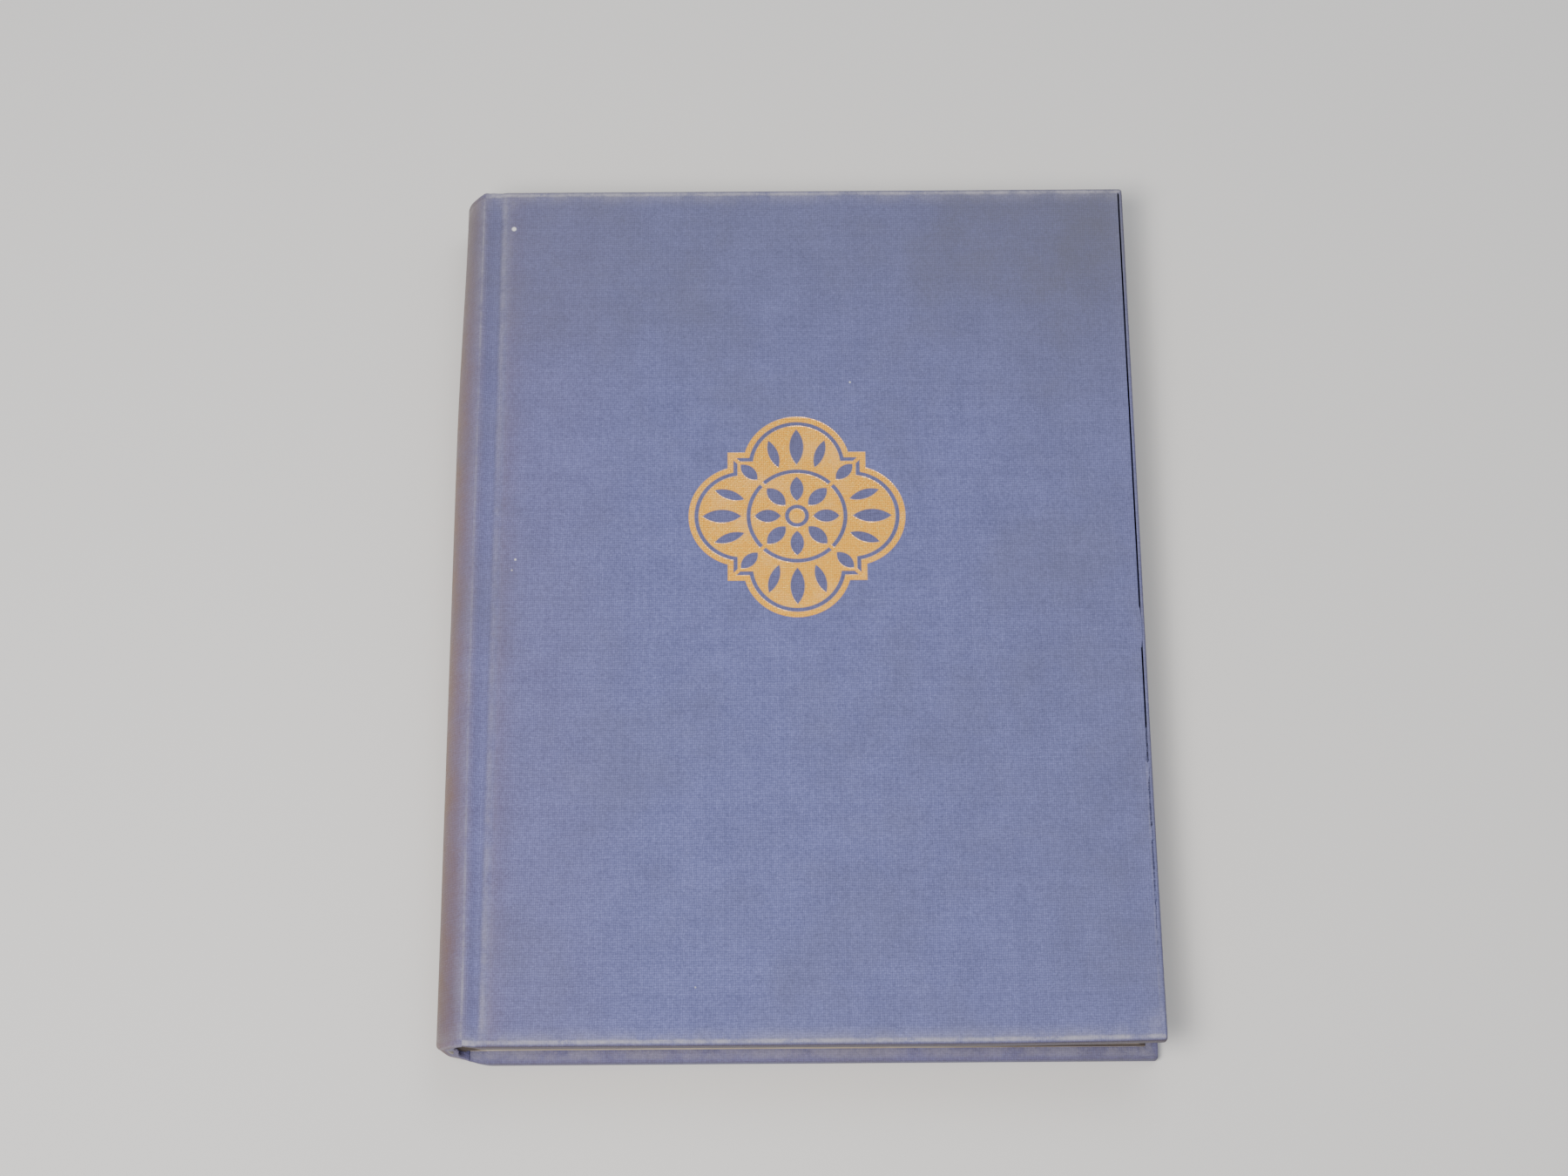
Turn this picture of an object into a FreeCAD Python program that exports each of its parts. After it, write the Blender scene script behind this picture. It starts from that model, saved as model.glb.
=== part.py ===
import FreeCAD, Part
import math
import os

# A case-bound book with a rounded and backed spine, French joints and a hollow back.
# Millimetres. +X runs from the spine to the fore-edge, +Y from the tail to the head, +Z up.
# The book lies on its back cover, and the origin is under the middle of its outline.

# The book block
pageHeight = 247.0
pageWidth = 183.5
leavesThickness = 15.8
backRise = 3.9
blockCrestX = 0.2
foreEdgeHollow = 3.6
blockCrestRadius = 0.9
blockCrestSide = 0.4
blockCrestFoot = 0.8

# Paper, cloth and board
boardThickness = 2.6
clothThickness = 0.4
endpaperThickness = 0.15
mullThickness = 0.25
liningThickness = 0.3
inlayThickness = 0.6
glue = 0.02
leafGap = 0.05

# The case
square = 3.5
jointWidth = 5.0
caseRise = 6.5
caseCrestX = 0.1
crestDrop = 0.35
crestClearance = 0.3
crestRadius = 1.8
crestSide = 1.25
crestFoot = 0.9
partingGap = 0.1
turnIn = 16.0
boardCornerRadius = 2.0
clothEdgeRadius = 0.9
capShort = 0.8
mitreWidth = 0.15
mitreDepth = 0.25
mitreMargin = 3.0
turnInEdgeRadius = 0.5
pastedownSlope = 1.5
mullWing = 25.0
mullShort = 13.5
inlayMargin = 2.4
turnInMargin = 3.0

# The bands at the head and the tail of the back
bandBead = 1.6
bandFacets = 8
bandTape = 0.3
bandReach = 12.0
bandMargin = 3.4

# The stamped panel on the front cover
stampSize = 61.0
stampX = 90.9
stampY = 23.7
stampDepth = 0.12
foilThickness = 0.06
stampLine = 1.1
stampBorder = 1.7
petalCount = 8

# The panel's motif grows with the panel
lobeRadius = stampSize / 4
lobeReach = stampSize / 2 - lobeRadius
panelCorner = stampSize * 0.32
hubRadius = stampSize * 0.055
petalStart = stampSize * 0.075
petalEnd = stampSize * 0.195
petalWidth = stampSize * 0.062
wreathRadius = stampSize * 0.232
leafStart = stampSize * 0.257
leafEnd = stampSize * 0.435
leafWidth = stampSize * 0.065
sideLeafEnd = stampSize * 0.4
sideLeafWidth = stampSize * 0.045
sideLeafTurn = 19.0
cornerLeafEnd = stampSize * 0.365
cornerLeafWidth = stampSize * 0.055

# Heights worked out from the layers, counted from the middle of the book's thickness
blockHalf = leavesThickness / 2
flyleafLow = blockHalf + glue
flyleafHigh = flyleafLow + endpaperThickness
guardLow = flyleafHigh + leafGap
guardHigh = guardLow + endpaperThickness
mullLow = guardHigh + glue
mullHigh = mullLow + mullThickness
jointClothHigh = mullHigh + glue + clothThickness
pasteLow = flyleafHigh + leafGap
pasteHigh = pasteLow + endpaperThickness
turnInLow = pasteHigh + glue
turnInHigh = turnInLow + clothThickness
boardLow = turnInHigh + glue
boardHigh = boardLow + boardThickness
caseLow = boardHigh + glue
caseHalf = caseLow + clothThickness
crestHeight = caseHalf - crestDrop

# Lengths worked out from the page and the squares; x is counted from the spine's ridge
coverFore = pageWidth + square
coverHalfHeight = pageHeight / 2 + square
spineHalfHeight = coverHalfHeight - capShort
coverSpineEdge = jointWidth - glue - clothThickness
mullEnd = coverSpineEdge - partingGap
mullHalfHeight = pageHeight / 2 - mullShort
blockCrestHeight = crestHeight - clothThickness - mullThickness - crestClearance
foldX = blockCrestX + blockCrestSide + blockCrestFoot + mullThickness

ridgeX = -(coverFore - caseRise) / 2
middleZ = caseHalf


def point(x, z, y=0.0):
    """A place in the part's frame from one counted from the ridge and the middle height."""
    return FreeCAD.Vector(ridgeX + x, y, middleZ + z)


def line(start, end):
    return Part.LineSegment(point(*start), point(*end)).toShape()


def arc(centre, radius, startAngle, endAngle):
    """An arc in the section plane; angles in degrees, from +X towards +Z."""
    places = []
    for angle in (startAngle, (startAngle + endAngle) / 2, endAngle):
        turn = math.radians(angle)
        places.append(point(centre[0] + radius * math.cos(turn), centre[1] + radius * math.sin(turn)))
    return Part.Arc(*places).toShape()


def extrudeSection(edges, low, high):
    """The solid of a closed section, between two places along the book's height."""
    wire = Part.Wire(Part.__sortEdges__(edges))
    face = Part.Face(wire)
    face.translate(FreeCAD.Vector(0, low, 0))
    return face.extrude(FreeCAD.Vector(0, high - low, 0))


def slab(x, y, z):
    """A box between two places on each axis, with x from the ridge and z from mid height."""
    corner = point(x[0], z[0], y[0])
    return Part.makeBox(x[1] - x[0], y[1] - y[0], z[1] - z[0], corner)


def mirrored(shape):
    """The same piece on the back half of the book."""
    return shape.mirror(FreeCAD.Vector(0, 0, middleZ), FreeCAD.Vector(0, 0, 1))


class BackLine:
    """The rounded back, its two ridges and their feet, as tangent arcs in the section."""

    def __init__(self, rise, crestX, crestZ, crestR, sideR, footR):
        self.crest = (crestX, crestZ)
        self.crestR = crestR
        self.sideR = sideR
        self.footR = footR
        up = crestZ - crestR
        along = crestX + rise
        self.radius = (up * up + along * along - crestR * crestR) / (2 * (along - crestR))
        self.centreX = self.radius - rise
        self.crestAngle = math.degrees(math.atan2(up, crestX - self.centreX))

    def backArc(self, inset, margin=0.0):
        """The arc of the back alone, ending margin mm below each ridge."""
        radius = self.radius - inset
        reach = self.crest[1] - margin
        angle = 180 - math.degrees(math.asin(min(reach / radius, 1)))
        return arc((self.centreX, 0), radius, angle, 360 - angle), angle

    def edges(self, inset, level, endX):
        """The whole line at an inset, from the upper joint round the back to the lower one."""
        x, z = self.crest
        side = x + self.sideR - inset
        foot = x + self.sideR + self.footR
        upper = [
            ((endX, level - inset), (foot, level - inset)),
            ((side, level + self.footR), (side, z - self.sideR)),
        ]
        shapes = []
        for sign in (1, -1):
            for start, end in upper:
                shapes.append(line((start[0], sign * start[1]), (end[0], sign * end[1])))
            footCentre = (foot, sign * (level + self.footR))
            shapes.append(arc(footCentre, self.footR + inset, -sign * 90, -sign * 180))
            shapes.append(arc((x, sign * (z - self.sideR)), self.sideR - inset, 0, sign * 90))
            shapes.append(
                arc((x, sign * (z - self.crestR)), self.crestR - inset, sign * 90, sign * self.crestAngle)
            )
        back = arc((self.centreX, 0), self.radius - inset, self.crestAngle, 360 - self.crestAngle)
        return shapes + [back]

    def band(self, outer, inner, level, endX, low, high):
        """A layer that follows the line, between two insets."""
        ends = []
        for sign in (1, -1):
            ends.append(line((endX, sign * (level - outer)), (endX, sign * (level - inner))))
        sides = self.edges(outer, level, endX) + self.edges(inner, level, endX)
        return extrudeSection(sides + ends, low, high)

    def arcBand(self, outer, inner, margin, low, high):
        """A layer on the arc of the back alone."""
        outerArc, angle = self.backArc(outer, margin)
        turn = math.radians(angle)
        cosine = math.cos(turn)
        sine = math.sin(turn)
        innerRadius = self.radius - inner
        outerRadius = self.radius - outer
        innerArc = arc((self.centreX, 0), innerRadius, angle, 360 - angle)
        ends = []
        for sign in (1, -1):
            ends.append(
                line(
                    (self.centreX + outerRadius * cosine, sign * outerRadius * sine),
                    (self.centreX + innerRadius * cosine, sign * innerRadius * sine),
                )
            )
        return extrudeSection([outerArc, innerArc] + ends, low, high)


blockLine = BackLine(
    backRise, blockCrestX, blockCrestHeight, blockCrestRadius, blockCrestSide, blockCrestFoot
)
mullGrowth = glue + mullThickness
mullLine = BackLine(
    backRise + mullGrowth,
    blockCrestX,
    blockCrestHeight + mullGrowth,
    blockCrestRadius + mullGrowth,
    blockCrestSide + mullGrowth,
    blockCrestFoot - mullGrowth,
)
caseLine = BackLine(caseRise, caseCrestX, crestHeight, crestRadius, crestSide, crestFoot)


def makeTextBlock():
    """The sewn leaves: rounded back, backed shoulders and the hollow fore-edge."""
    half = pageHeight / 2
    rise = foreEdgeHollow
    radius = (blockHalf * blockHalf + rise * rise) / (2 * rise)
    centreX = pageWidth - rise + radius
    angle = math.degrees(math.asin(blockHalf / radius))
    fore = arc((centreX, 0), radius, 180 - angle, 180 + angle)
    return extrudeSection(blockLine.edges(0, blockHalf, pageWidth) + [fore], -half, half)


def makeFlyleaf():
    """The free leaf, its fold at the shoulder and the strip that is glued in the joint."""
    half = pageHeight / 2
    y = (-half, half)
    leaf = slab((foldX, pageWidth), y, (flyleafLow, flyleafHigh))
    fold = slab((foldX, foldX + endpaperThickness), y, (flyleafLow, guardHigh))
    guard = slab((foldX, mullEnd), y, (guardLow, guardHigh))
    return leaf.fuse([fold, guard]).removeSplitter()


def makeMull():
    """The open-weave cloth glued over the sewn back and down into both joints."""
    return mullLine.band(0, mullThickness, mullHigh, mullEnd, -mullHalfHeight, mullHalfHeight)


def makeSpineLining():
    outer = -(mullGrowth + glue + liningThickness)
    inner = -(mullGrowth + glue)
    return blockLine.arcBand(outer, inner, bandMargin, -mullHalfHeight, mullHalfHeight)


def makeBand():
    """The head band: a bead on the pages' edge and the tape that holds it to the back."""
    top = pageHeight / 2
    bead = bandBead / 2
    tape = blockLine.arcBand(-(glue + bandTape), -glue, bandMargin, top - bandReach, top + glue + bead)
    beadRadius = blockLine.radius - bead * 0.6
    _, angle = blockLine.backArc(0, bandMargin)
    turn = math.radians(angle)
    centre = point(blockLine.centreX, 0, top + glue + bead)
    start = point(
        blockLine.centreX + beadRadius * math.cos(turn), beadRadius * math.sin(turn), top + glue + bead
    )
    outwards = FreeCAD.Vector(math.cos(turn), 0, math.sin(turn))
    upright = FreeCAD.Vector(0, 1, 0)
    corners = []
    for index in range(bandFacets + 1):
        facet = 2 * math.pi * (index % bandFacets + 0.5) / bandFacets
        corners.append(start + (outwards * math.cos(facet) + upright * math.sin(facet)) * bead)
    disc = Part.Face(Part.makePolygon(corners))
    cord = disc.revolve(centre, FreeCAD.Vector(0, -1, 0), 360 - 2 * angle)
    return tape.fuse(cord).removeSplitter()


def makeSpineInlay():
    """The card strip that stiffens the spine of the case."""
    outer = clothThickness + glue
    half = spineHalfHeight - clothThickness - glue
    return caseLine.arcBand(outer, outer + inlayThickness, inlayMargin, -half, half)


def makeSpineCloth():
    """The case cloth over the spine, both ridges and both joints, turned in at each end."""
    half = spineHalfHeight
    cloth = caseLine.band(0, clothThickness, jointClothHigh, mullEnd, -half, half)
    lap = clothThickness + glue + mullThickness
    inside = clothThickness + 2 * glue + inlayThickness
    pieces = []
    for low, high in ((half - turnIn, half), (turnIn - half, -half)):
        ends = (min(low, high), max(low, high))
        fold = caseLine.arcBand(inside, inside + clothThickness, turnInMargin, *ends)
        tip = (min(high, high - math.copysign(clothThickness, high)),
               max(high, high - math.copysign(clothThickness, high)))
        cap = caseLine.arcBand(clothThickness / 2, inside + clothThickness, turnInMargin, *tip)
        lapped = caseLine.band(clothThickness / 2, lap, jointClothHigh, mullEnd, *ends)
        keep = slab((caseCrestX, mullEnd), ends, (-caseHalf, caseHalf))
        pieces += [fold, cap, lapped.common(keep)]
    return cloth.fuse(pieces).removeSplitter()


def makeBoard():
    inset = clothThickness + glue
    half = coverHalfHeight - inset
    board = slab((jointWidth, coverFore - inset), (-half, half), (boardLow, boardHigh))
    return roundCorners(board, boardCornerRadius - inset)


def roundCorners(shape, radius):
    """Rounds the upright corners at the fore-edge."""
    corners = []
    for edge in shape.Edges:
        upright = abs(edge.tangentAt(edge.FirstParameter).z) > 0.99
        if upright and edge.BoundBox.XMax > ridgeX + coverFore - 2 * clothThickness:
            corners.append(edge)
    return shape.makeFillet(radius, corners)


def outlineEdges(shape, height):
    """The edges that lie at one height, apart from those in the joint."""
    edges = []
    for edge in shape.Edges:
        box = edge.BoundBox
        if abs(box.ZMin - height) < 0.001 and box.ZLength < 0.001 and box.XMax > ridgeX + jointWidth:
            edges.append(edge)
    return edges


def makeCoverCloth():
    """The case cloth over one board, turned in along the head, the tail and the fore-edge."""
    half = coverHalfHeight
    skin = slab((coverSpineEdge, coverFore), (-half, half), (turnInLow, caseHalf))
    skin = roundCorners(skin, boardCornerRadius)
    skin = skin.makeFillet(turnInEdgeRadius, outlineEdges(skin, middleZ + turnInLow))
    top = [edge for edge in skin.Edges if abs(edge.BoundBox.ZMin - middleZ - caseHalf) < 0.001]
    skin = skin.makeFillet(clothEdgeRadius, top)
    inset = clothThickness
    room = slab(
        (coverSpineEdge + inset, coverFore - inset), (inset - half, half - inset), (turnInHigh, caseLow)
    )
    room = roundCorners(room, boardCornerRadius - inset)
    window = slab(
        (coverSpineEdge - 1, coverFore - turnIn), (turnIn - half, half - turnIn), (turnInLow - 1, boardLow)
    )
    return skin.cut([room, window] + makeMitres())


def makeMitres():
    """The seams where the turned-in cloth meets at the two corners of the fore-edge."""
    start = turnIn + mitreMargin
    length = (start - mitreMargin * 2) * math.sqrt(2)
    seams = []
    for sign in (1, -1):
        seam = Part.makeBox(length, mitreWidth, mitreDepth, FreeCAD.Vector(0, -mitreWidth / 2, 0))
        seam.rotate(FreeCAD.Vector(0, 0, 0), FreeCAD.Vector(0, 0, 1), 45 * sign)
        seam.translate(point(coverFore - start, turnInLow - glue, sign * (coverHalfHeight - start)))
        seams.append(seam)
    return seams


def pastedownLip(low, rise):
    """The dish between the turned-in cloth, wider at its low side by the slope."""
    faces = []
    for height, margin in ((low, 0.0), (low + rise, pastedownSlope)):
        x = (jointWidth + glue, coverFore - turnIn - glue - margin)
        y = coverHalfHeight - turnIn - glue - margin
        corners = [point(x[0], height, -y), point(x[1], height, -y)]
        corners += [point(x[1], height, y), point(x[0], height, y)]
        faces.append(Part.makePolygon(corners + corners[:1]))
    return Part.makeLoft(faces, True, True)


def makePastedown():
    """The endpaper leaf on the board, which sinks a little between the turn-ins."""
    half = pageHeight / 2
    sink = clothThickness - mullThickness
    sheet = slab((jointWidth + glue, pageWidth), (-half, half), (pasteLow, pasteHigh))
    return sheet.fuse(pastedownLip(pasteHigh, sink)).cut(pastedownLip(pasteLow, sink))


def makeMullWing():
    """The mull's wing on the board, under the pastedown."""
    x = (jointWidth + glue, jointWidth + mullWing)
    y = (-mullHalfHeight, mullHalfHeight)
    return slab(x, y, (boardLow - glue - mullThickness, boardLow - glue))


def flatDisc(x, y, radius, low, high):
    return Part.makeCylinder(radius, high - low, point(x, low, y))


def panel(low, high, inset):
    """The stamped panel's outline, four lobes and four corners, moved inwards by inset."""
    side = panelCorner - inset
    body = slab((stampX - side, stampX + side), (stampY - side, stampY + side), (low, high))
    lobes = []
    for quarter in range(4):
        turn = math.radians(90 * quarter)
        x = stampX + lobeReach * math.cos(turn)
        y = stampY + lobeReach * math.sin(turn)
        lobes.append(flatDisc(x, y, lobeRadius - inset, low, high))
    return body.fuse(lobes).removeSplitter()


def flatRing(radius, low, high):
    """A ring as wide as the motif's lines, round the panel's middle."""
    outer = flatDisc(stampX, stampY, radius, low, high)
    return outer.cut(flatDisc(stampX, stampY, radius - stampLine, low, high))


def leaf(angle, start, end, width, low, high):
    """A pointed leaf on a ray from the panel's middle, between two arcs."""
    turn = math.radians(angle)
    ray = FreeCAD.Vector(math.cos(turn), math.sin(turn), 0)
    across = FreeCAD.Vector(-math.sin(turn), math.cos(turn), 0) * (width / 2)
    centre = point(stampX, low, stampY)
    root = centre + ray * start
    tip = centre + ray * end
    middle = centre + ray * ((start + end) / 2)
    right = Part.Arc(root, middle + across, tip).toShape()
    left = Part.Arc(tip, middle - across, root).toShape()
    face = Part.Face(Part.Wire([right, left]))
    return face.extrude(FreeCAD.Vector(0, 0, high - low))


def makeBridges(low, high):
    """Two crossed bars that keep the gold whole where a line would part it."""
    bars = []
    origin = FreeCAD.Vector(0, 0, 0)
    for turn in (45, 135):
        corner = FreeCAD.Vector(-stampSize / 2, -stampLine / 2, 0)
        bar = Part.makeBox(stampSize, stampLine, high - low, corner)
        bar.rotate(origin, FreeCAD.Vector(0, 0, 1), turn)
        bar.translate(point(stampX, low, stampY))
        bars.append(bar)
    return bars


def makeStamp(low, high):
    """The gold panel, with the cloth left bare in the lines and leaves of its motif."""
    border = panel(low, high, stampBorder).cut(panel(low, high, stampBorder + stampLine))
    bridges = makeBridges(low, high)
    bare = [border.cut(bridges), flatRing(wreathRadius, low, high).cut(bridges)]
    bare.append(flatRing(hubRadius, low, high))
    for index in range(petalCount):
        bare.append(leaf(360 * index / petalCount, petalStart, petalEnd, petalWidth, low, high))
    for angle in range(0, 360, 90):
        bare.append(leaf(angle, leafStart, leafEnd, leafWidth, low, high))
        bare.append(leaf(angle + 45, leafStart, cornerLeafEnd, cornerLeafWidth, low, high))
        for lean in (-sideLeafTurn, sideLeafTurn):
            bare.append(leaf(angle + lean, leafStart, sideLeafEnd, sideLeafWidth, low, high))
    return panel(low, high, 0).cut(bare)


def build():
    """Every piece of the book, by its name."""
    frontCloth = makeCoverCloth()
    foilHigh = caseHalf - stampDepth + foilThickness
    pieces = {
        "text_block": makeTextBlock(),
        "front_flyleaf": makeFlyleaf(),
        "mull": makeMull(),
        "spine_lining": makeSpineLining(),
        "head_band": makeBand(),
        "spine_inlay": makeSpineInlay(),
        "spine_cloth": makeSpineCloth(),
        "front_board": makeBoard(),
        "front_pastedown": makePastedown(),
        "front_mull_wing": makeMullWing(),
        "gold_stamping": makeStamp(caseHalf - stampDepth, foilHigh),
    }
    middle = FreeCAD.Vector(0, 0, 0)
    upward = FreeCAD.Vector(0, 1, 0)
    pieces["tail_band"] = pieces["head_band"].mirror(middle, upward)
    pieces["back_cloth"] = mirrored(frontCloth)
    pieces["front_cloth"] = frontCloth.cut(panel(caseHalf - stampDepth, caseHalf + 1, 0))
    for name in ("flyleaf", "board", "pastedown", "mull_wing"):
        pieces["back_" + name] = mirrored(pieces["front_" + name])
    return pieces


os.makedirs("parts", exist_ok=True)
for name, shape in build().items():
    shape.exportStep("parts/" + name + ".step")
    print(name, len(shape.Solids), round(shape.Volume, 1), shape.isValid())
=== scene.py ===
import math
import random
from functools import partial
import bmesh
import bpy
from mathutils import Matrix, Vector, noise
from mathutils.geometry import tessellate_polygon
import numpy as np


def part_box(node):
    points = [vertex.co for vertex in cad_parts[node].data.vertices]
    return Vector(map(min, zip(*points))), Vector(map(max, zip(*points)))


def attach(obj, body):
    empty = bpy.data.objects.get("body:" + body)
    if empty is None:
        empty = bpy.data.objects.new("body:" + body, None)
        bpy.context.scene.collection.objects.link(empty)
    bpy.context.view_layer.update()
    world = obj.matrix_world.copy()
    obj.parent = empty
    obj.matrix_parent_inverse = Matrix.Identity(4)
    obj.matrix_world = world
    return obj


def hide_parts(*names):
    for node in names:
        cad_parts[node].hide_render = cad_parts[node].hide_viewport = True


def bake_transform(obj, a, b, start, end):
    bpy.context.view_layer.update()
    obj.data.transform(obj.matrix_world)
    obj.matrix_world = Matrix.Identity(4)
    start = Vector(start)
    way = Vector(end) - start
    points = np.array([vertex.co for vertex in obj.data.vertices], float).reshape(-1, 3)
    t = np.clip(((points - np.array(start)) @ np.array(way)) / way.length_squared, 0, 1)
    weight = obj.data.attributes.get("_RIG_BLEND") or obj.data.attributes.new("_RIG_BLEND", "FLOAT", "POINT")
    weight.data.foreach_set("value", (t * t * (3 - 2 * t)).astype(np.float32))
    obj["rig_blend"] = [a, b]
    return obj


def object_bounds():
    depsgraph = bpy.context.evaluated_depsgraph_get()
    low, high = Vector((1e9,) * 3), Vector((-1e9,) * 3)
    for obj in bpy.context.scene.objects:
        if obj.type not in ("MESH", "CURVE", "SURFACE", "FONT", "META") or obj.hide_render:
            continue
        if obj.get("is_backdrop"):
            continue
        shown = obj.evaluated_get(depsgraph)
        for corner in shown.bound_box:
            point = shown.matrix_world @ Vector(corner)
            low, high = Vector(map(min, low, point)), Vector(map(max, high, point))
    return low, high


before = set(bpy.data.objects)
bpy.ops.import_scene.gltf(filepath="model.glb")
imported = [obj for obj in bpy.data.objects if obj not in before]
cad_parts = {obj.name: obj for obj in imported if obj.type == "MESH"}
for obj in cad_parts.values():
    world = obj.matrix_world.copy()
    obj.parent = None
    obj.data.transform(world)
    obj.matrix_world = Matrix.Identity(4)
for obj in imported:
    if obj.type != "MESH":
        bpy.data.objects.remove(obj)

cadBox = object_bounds()
mm = 0.001


def cornersOf(node):
    low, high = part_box(node)
    return low / mm, high / mm


# places read from the frame, in mm; x is then counted from the spine's ridge, z from mid thickness
coverLow, coverHigh = cornersOf("front_cloth")
pageHigh = cornersOf("text_block")[1]
caseRise = 6.5
ridgeX = cornersOf("spine_cloth")[0].x + caseRise
midZ = coverHigh.z / 2
coverFore = coverHigh.x - ridgeX
coverHalf = coverHigh.y
pageHalf = pageHigh.y
pageFore = pageHigh.x - ridgeX
turnInLevel = coverLow.z - midZ
coverTop = coverHigh.z - midZ


def polar(centre, radius, degrees):
    turn = math.radians(degrees)
    return centre[0] + radius * math.cos(turn), centre[1] + radius * math.sin(turn)


def between(low, high, steps):
    return [low + (high - low) * i / steps for i in range(steps + 1)]


def runs(start, *stretches):
    # places from a start on, through stretches that each have an end and a number of steps
    places = [start]
    for end, steps in stretches:
        places += between(places[-1], end, steps)[1:]
    return places


def arcOf(centre, radius, low, high, steps):
    return [polar(centre, radius, angle) for angle in between(low, high, steps)]


def smooth(low, high, value):
    t = min(max((value - low) / (high - low), 0), 1)
    return t * t * (3 - 2 * t)


def backCurve(shape):
    # the back's arc, tangent to the crest's: its radius, its middle and the angle where they meet
    up = shape["crestZ"] - shape["crestRadius"]
    along = shape["crestX"] + shape["rise"]
    radius = (up * up + along * along - shape["crestRadius"] ** 2) / (2 * (along - shape["crestRadius"]))
    centreX = radius - shape["rise"]
    return radius, centreX, math.degrees(math.atan2(up, shape["crestX"] - centreX))


# the tail corner of the front cover has warped upwards
warp = {"lift": 2.7, "alongTail": 60.0, "alongFore": 84.0}


def coverLift(x, y):
    across = (coverFore - x) / warp["alongTail"]
    along = (y + coverHalf) / warp["alongFore"]
    return warp["lift"] * max(0.0, 1 - math.hypot(across, along)) ** 2


# the spine has settled: narrower towards the head, its ridge drifts a little towards the joint at
# the tail, and the joints are less pressed at their ends
settle = {
    "headDraw": 1.2, "headFrom": 50, "ridgeX": 0.7, "ridgeDrift": 0.75, "driftAlong": (20, 115),
    "driftAcross": (-6.4, 0.2, 1.2, 5.6), "jointFill": 0.8, "fillAlong": (8, 1.5),
    "fillAcross": (1.6, 3.2, 4.9, 6.4),
}


def hump(first, second, third, fourth, value):
    return smooth(first, second, value) * (1 - smooth(third, fourth, value))


def spineDraw(x, y):
    share = min(max((settle["ridgeX"] - x) / (caseRise + settle["ridgeX"]), 0), 1)
    drift = smooth(*settle["driftAlong"], -y) * hump(*settle["driftAcross"], x)
    narrower = settle["headDraw"] * smooth(settle["headFrom"], coverHalf, y) * share
    return narrower + settle["ridgeDrift"] * drift


def jointFill(x, y):
    start, end = settle["fillAlong"]
    along = smooth(coverHalf - start, coverHalf - end, abs(y))
    return settle["jointFill"] * hump(*settle["fillAcross"], x) * along


# shader helpers; a socket knows its own tree
def feed(source, target):
    if isinstance(source, bpy.types.NodeSocket):
        target.id_data.links.new(source, target)
    else:
        target.default_value = source


def addNode(tree, kind, inputs=None, **settings):
    node = tree.nodes.new(kind)
    for name, value in settings.items():
        setattr(node, name, value)
    for key, value in (inputs or {}).items():
        feed(value, node.inputs[key])
    return node


def treeOf(*values):
    return next(value.id_data for value in values if isinstance(value, bpy.types.NodeSocket))


def calc(operation, *values):
    node = addNode(treeOf(*values), "ShaderNodeMath", dict(enumerate(values)), operation=operation)
    return node.outputs[0]


times = partial(calc, "MULTIPLY")
timesPlus = partial(calc, "MULTIPLY_ADD")
plus = partial(calc, "ADD")
minus = partial(calc, "SUBTRACT")
larger = partial(calc, "MAXIMUM")


def rampTo(value, low, high, top=1.0):
    limits = {"Value": value, "From Min": low, "From Max": high, "To Max": top}
    node = addNode(treeOf(value), "ShaderNodeMapRange", limits, interpolation_type="SMOOTHSTEP")
    return node.outputs["Result"]


def mixColour(factor, first, second, blend="MIX"):
    tree = treeOf(factor, first, second)
    inputs = {0: factor, 6: first, 7: second}
    return addNode(tree, "ShaderNodeMix", inputs, data_type="RGBA", blend_type=blend).outputs[2]


def cloud(vector, scale, detail=3.0, rough=0.5):
    inputs = {"Vector": vector, "Scale": scale, "Detail": detail, "Roughness": rough}
    return addNode(treeOf(vector), "ShaderNodeTexNoise", inputs).outputs["Fac"]


def scaled(vector, factors):
    inputs = {0: vector, 1: factors}
    return addNode(treeOf(vector), "ShaderNodeVectorMath", inputs, operation="MULTIPLY").outputs[0]


def splitPlace(vector):
    return addNode(treeOf(vector), "ShaderNodeSeparateXYZ", {0: vector}).outputs


def shaderGroup(name, values, results):
    # a group that takes a vector and named numbers, and gives named numbers
    tree = bpy.data.node_groups.new(name, "ShaderNodeTree")
    tree.interface.new_socket(name="Vector", in_out="INPUT", socket_type="NodeSocketVector")
    for label, value in values.items():
        socket = tree.interface.new_socket(name=label, in_out="INPUT", socket_type="NodeSocketFloat")
        socket.default_value = value
    for label in results:
        tree.interface.new_socket(name=label, in_out="OUTPUT", socket_type="NodeSocketFloat")
    return tree, tree.nodes.new("NodeGroupInput").outputs, tree.nodes.new("NodeGroupOutput").inputs


def placeGroup(group, vector, **values):
    inputs = {"Vector": vector, **values}
    return addNode(treeOf(vector), "ShaderNodeGroup", inputs, node_tree=group).outputs


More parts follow.
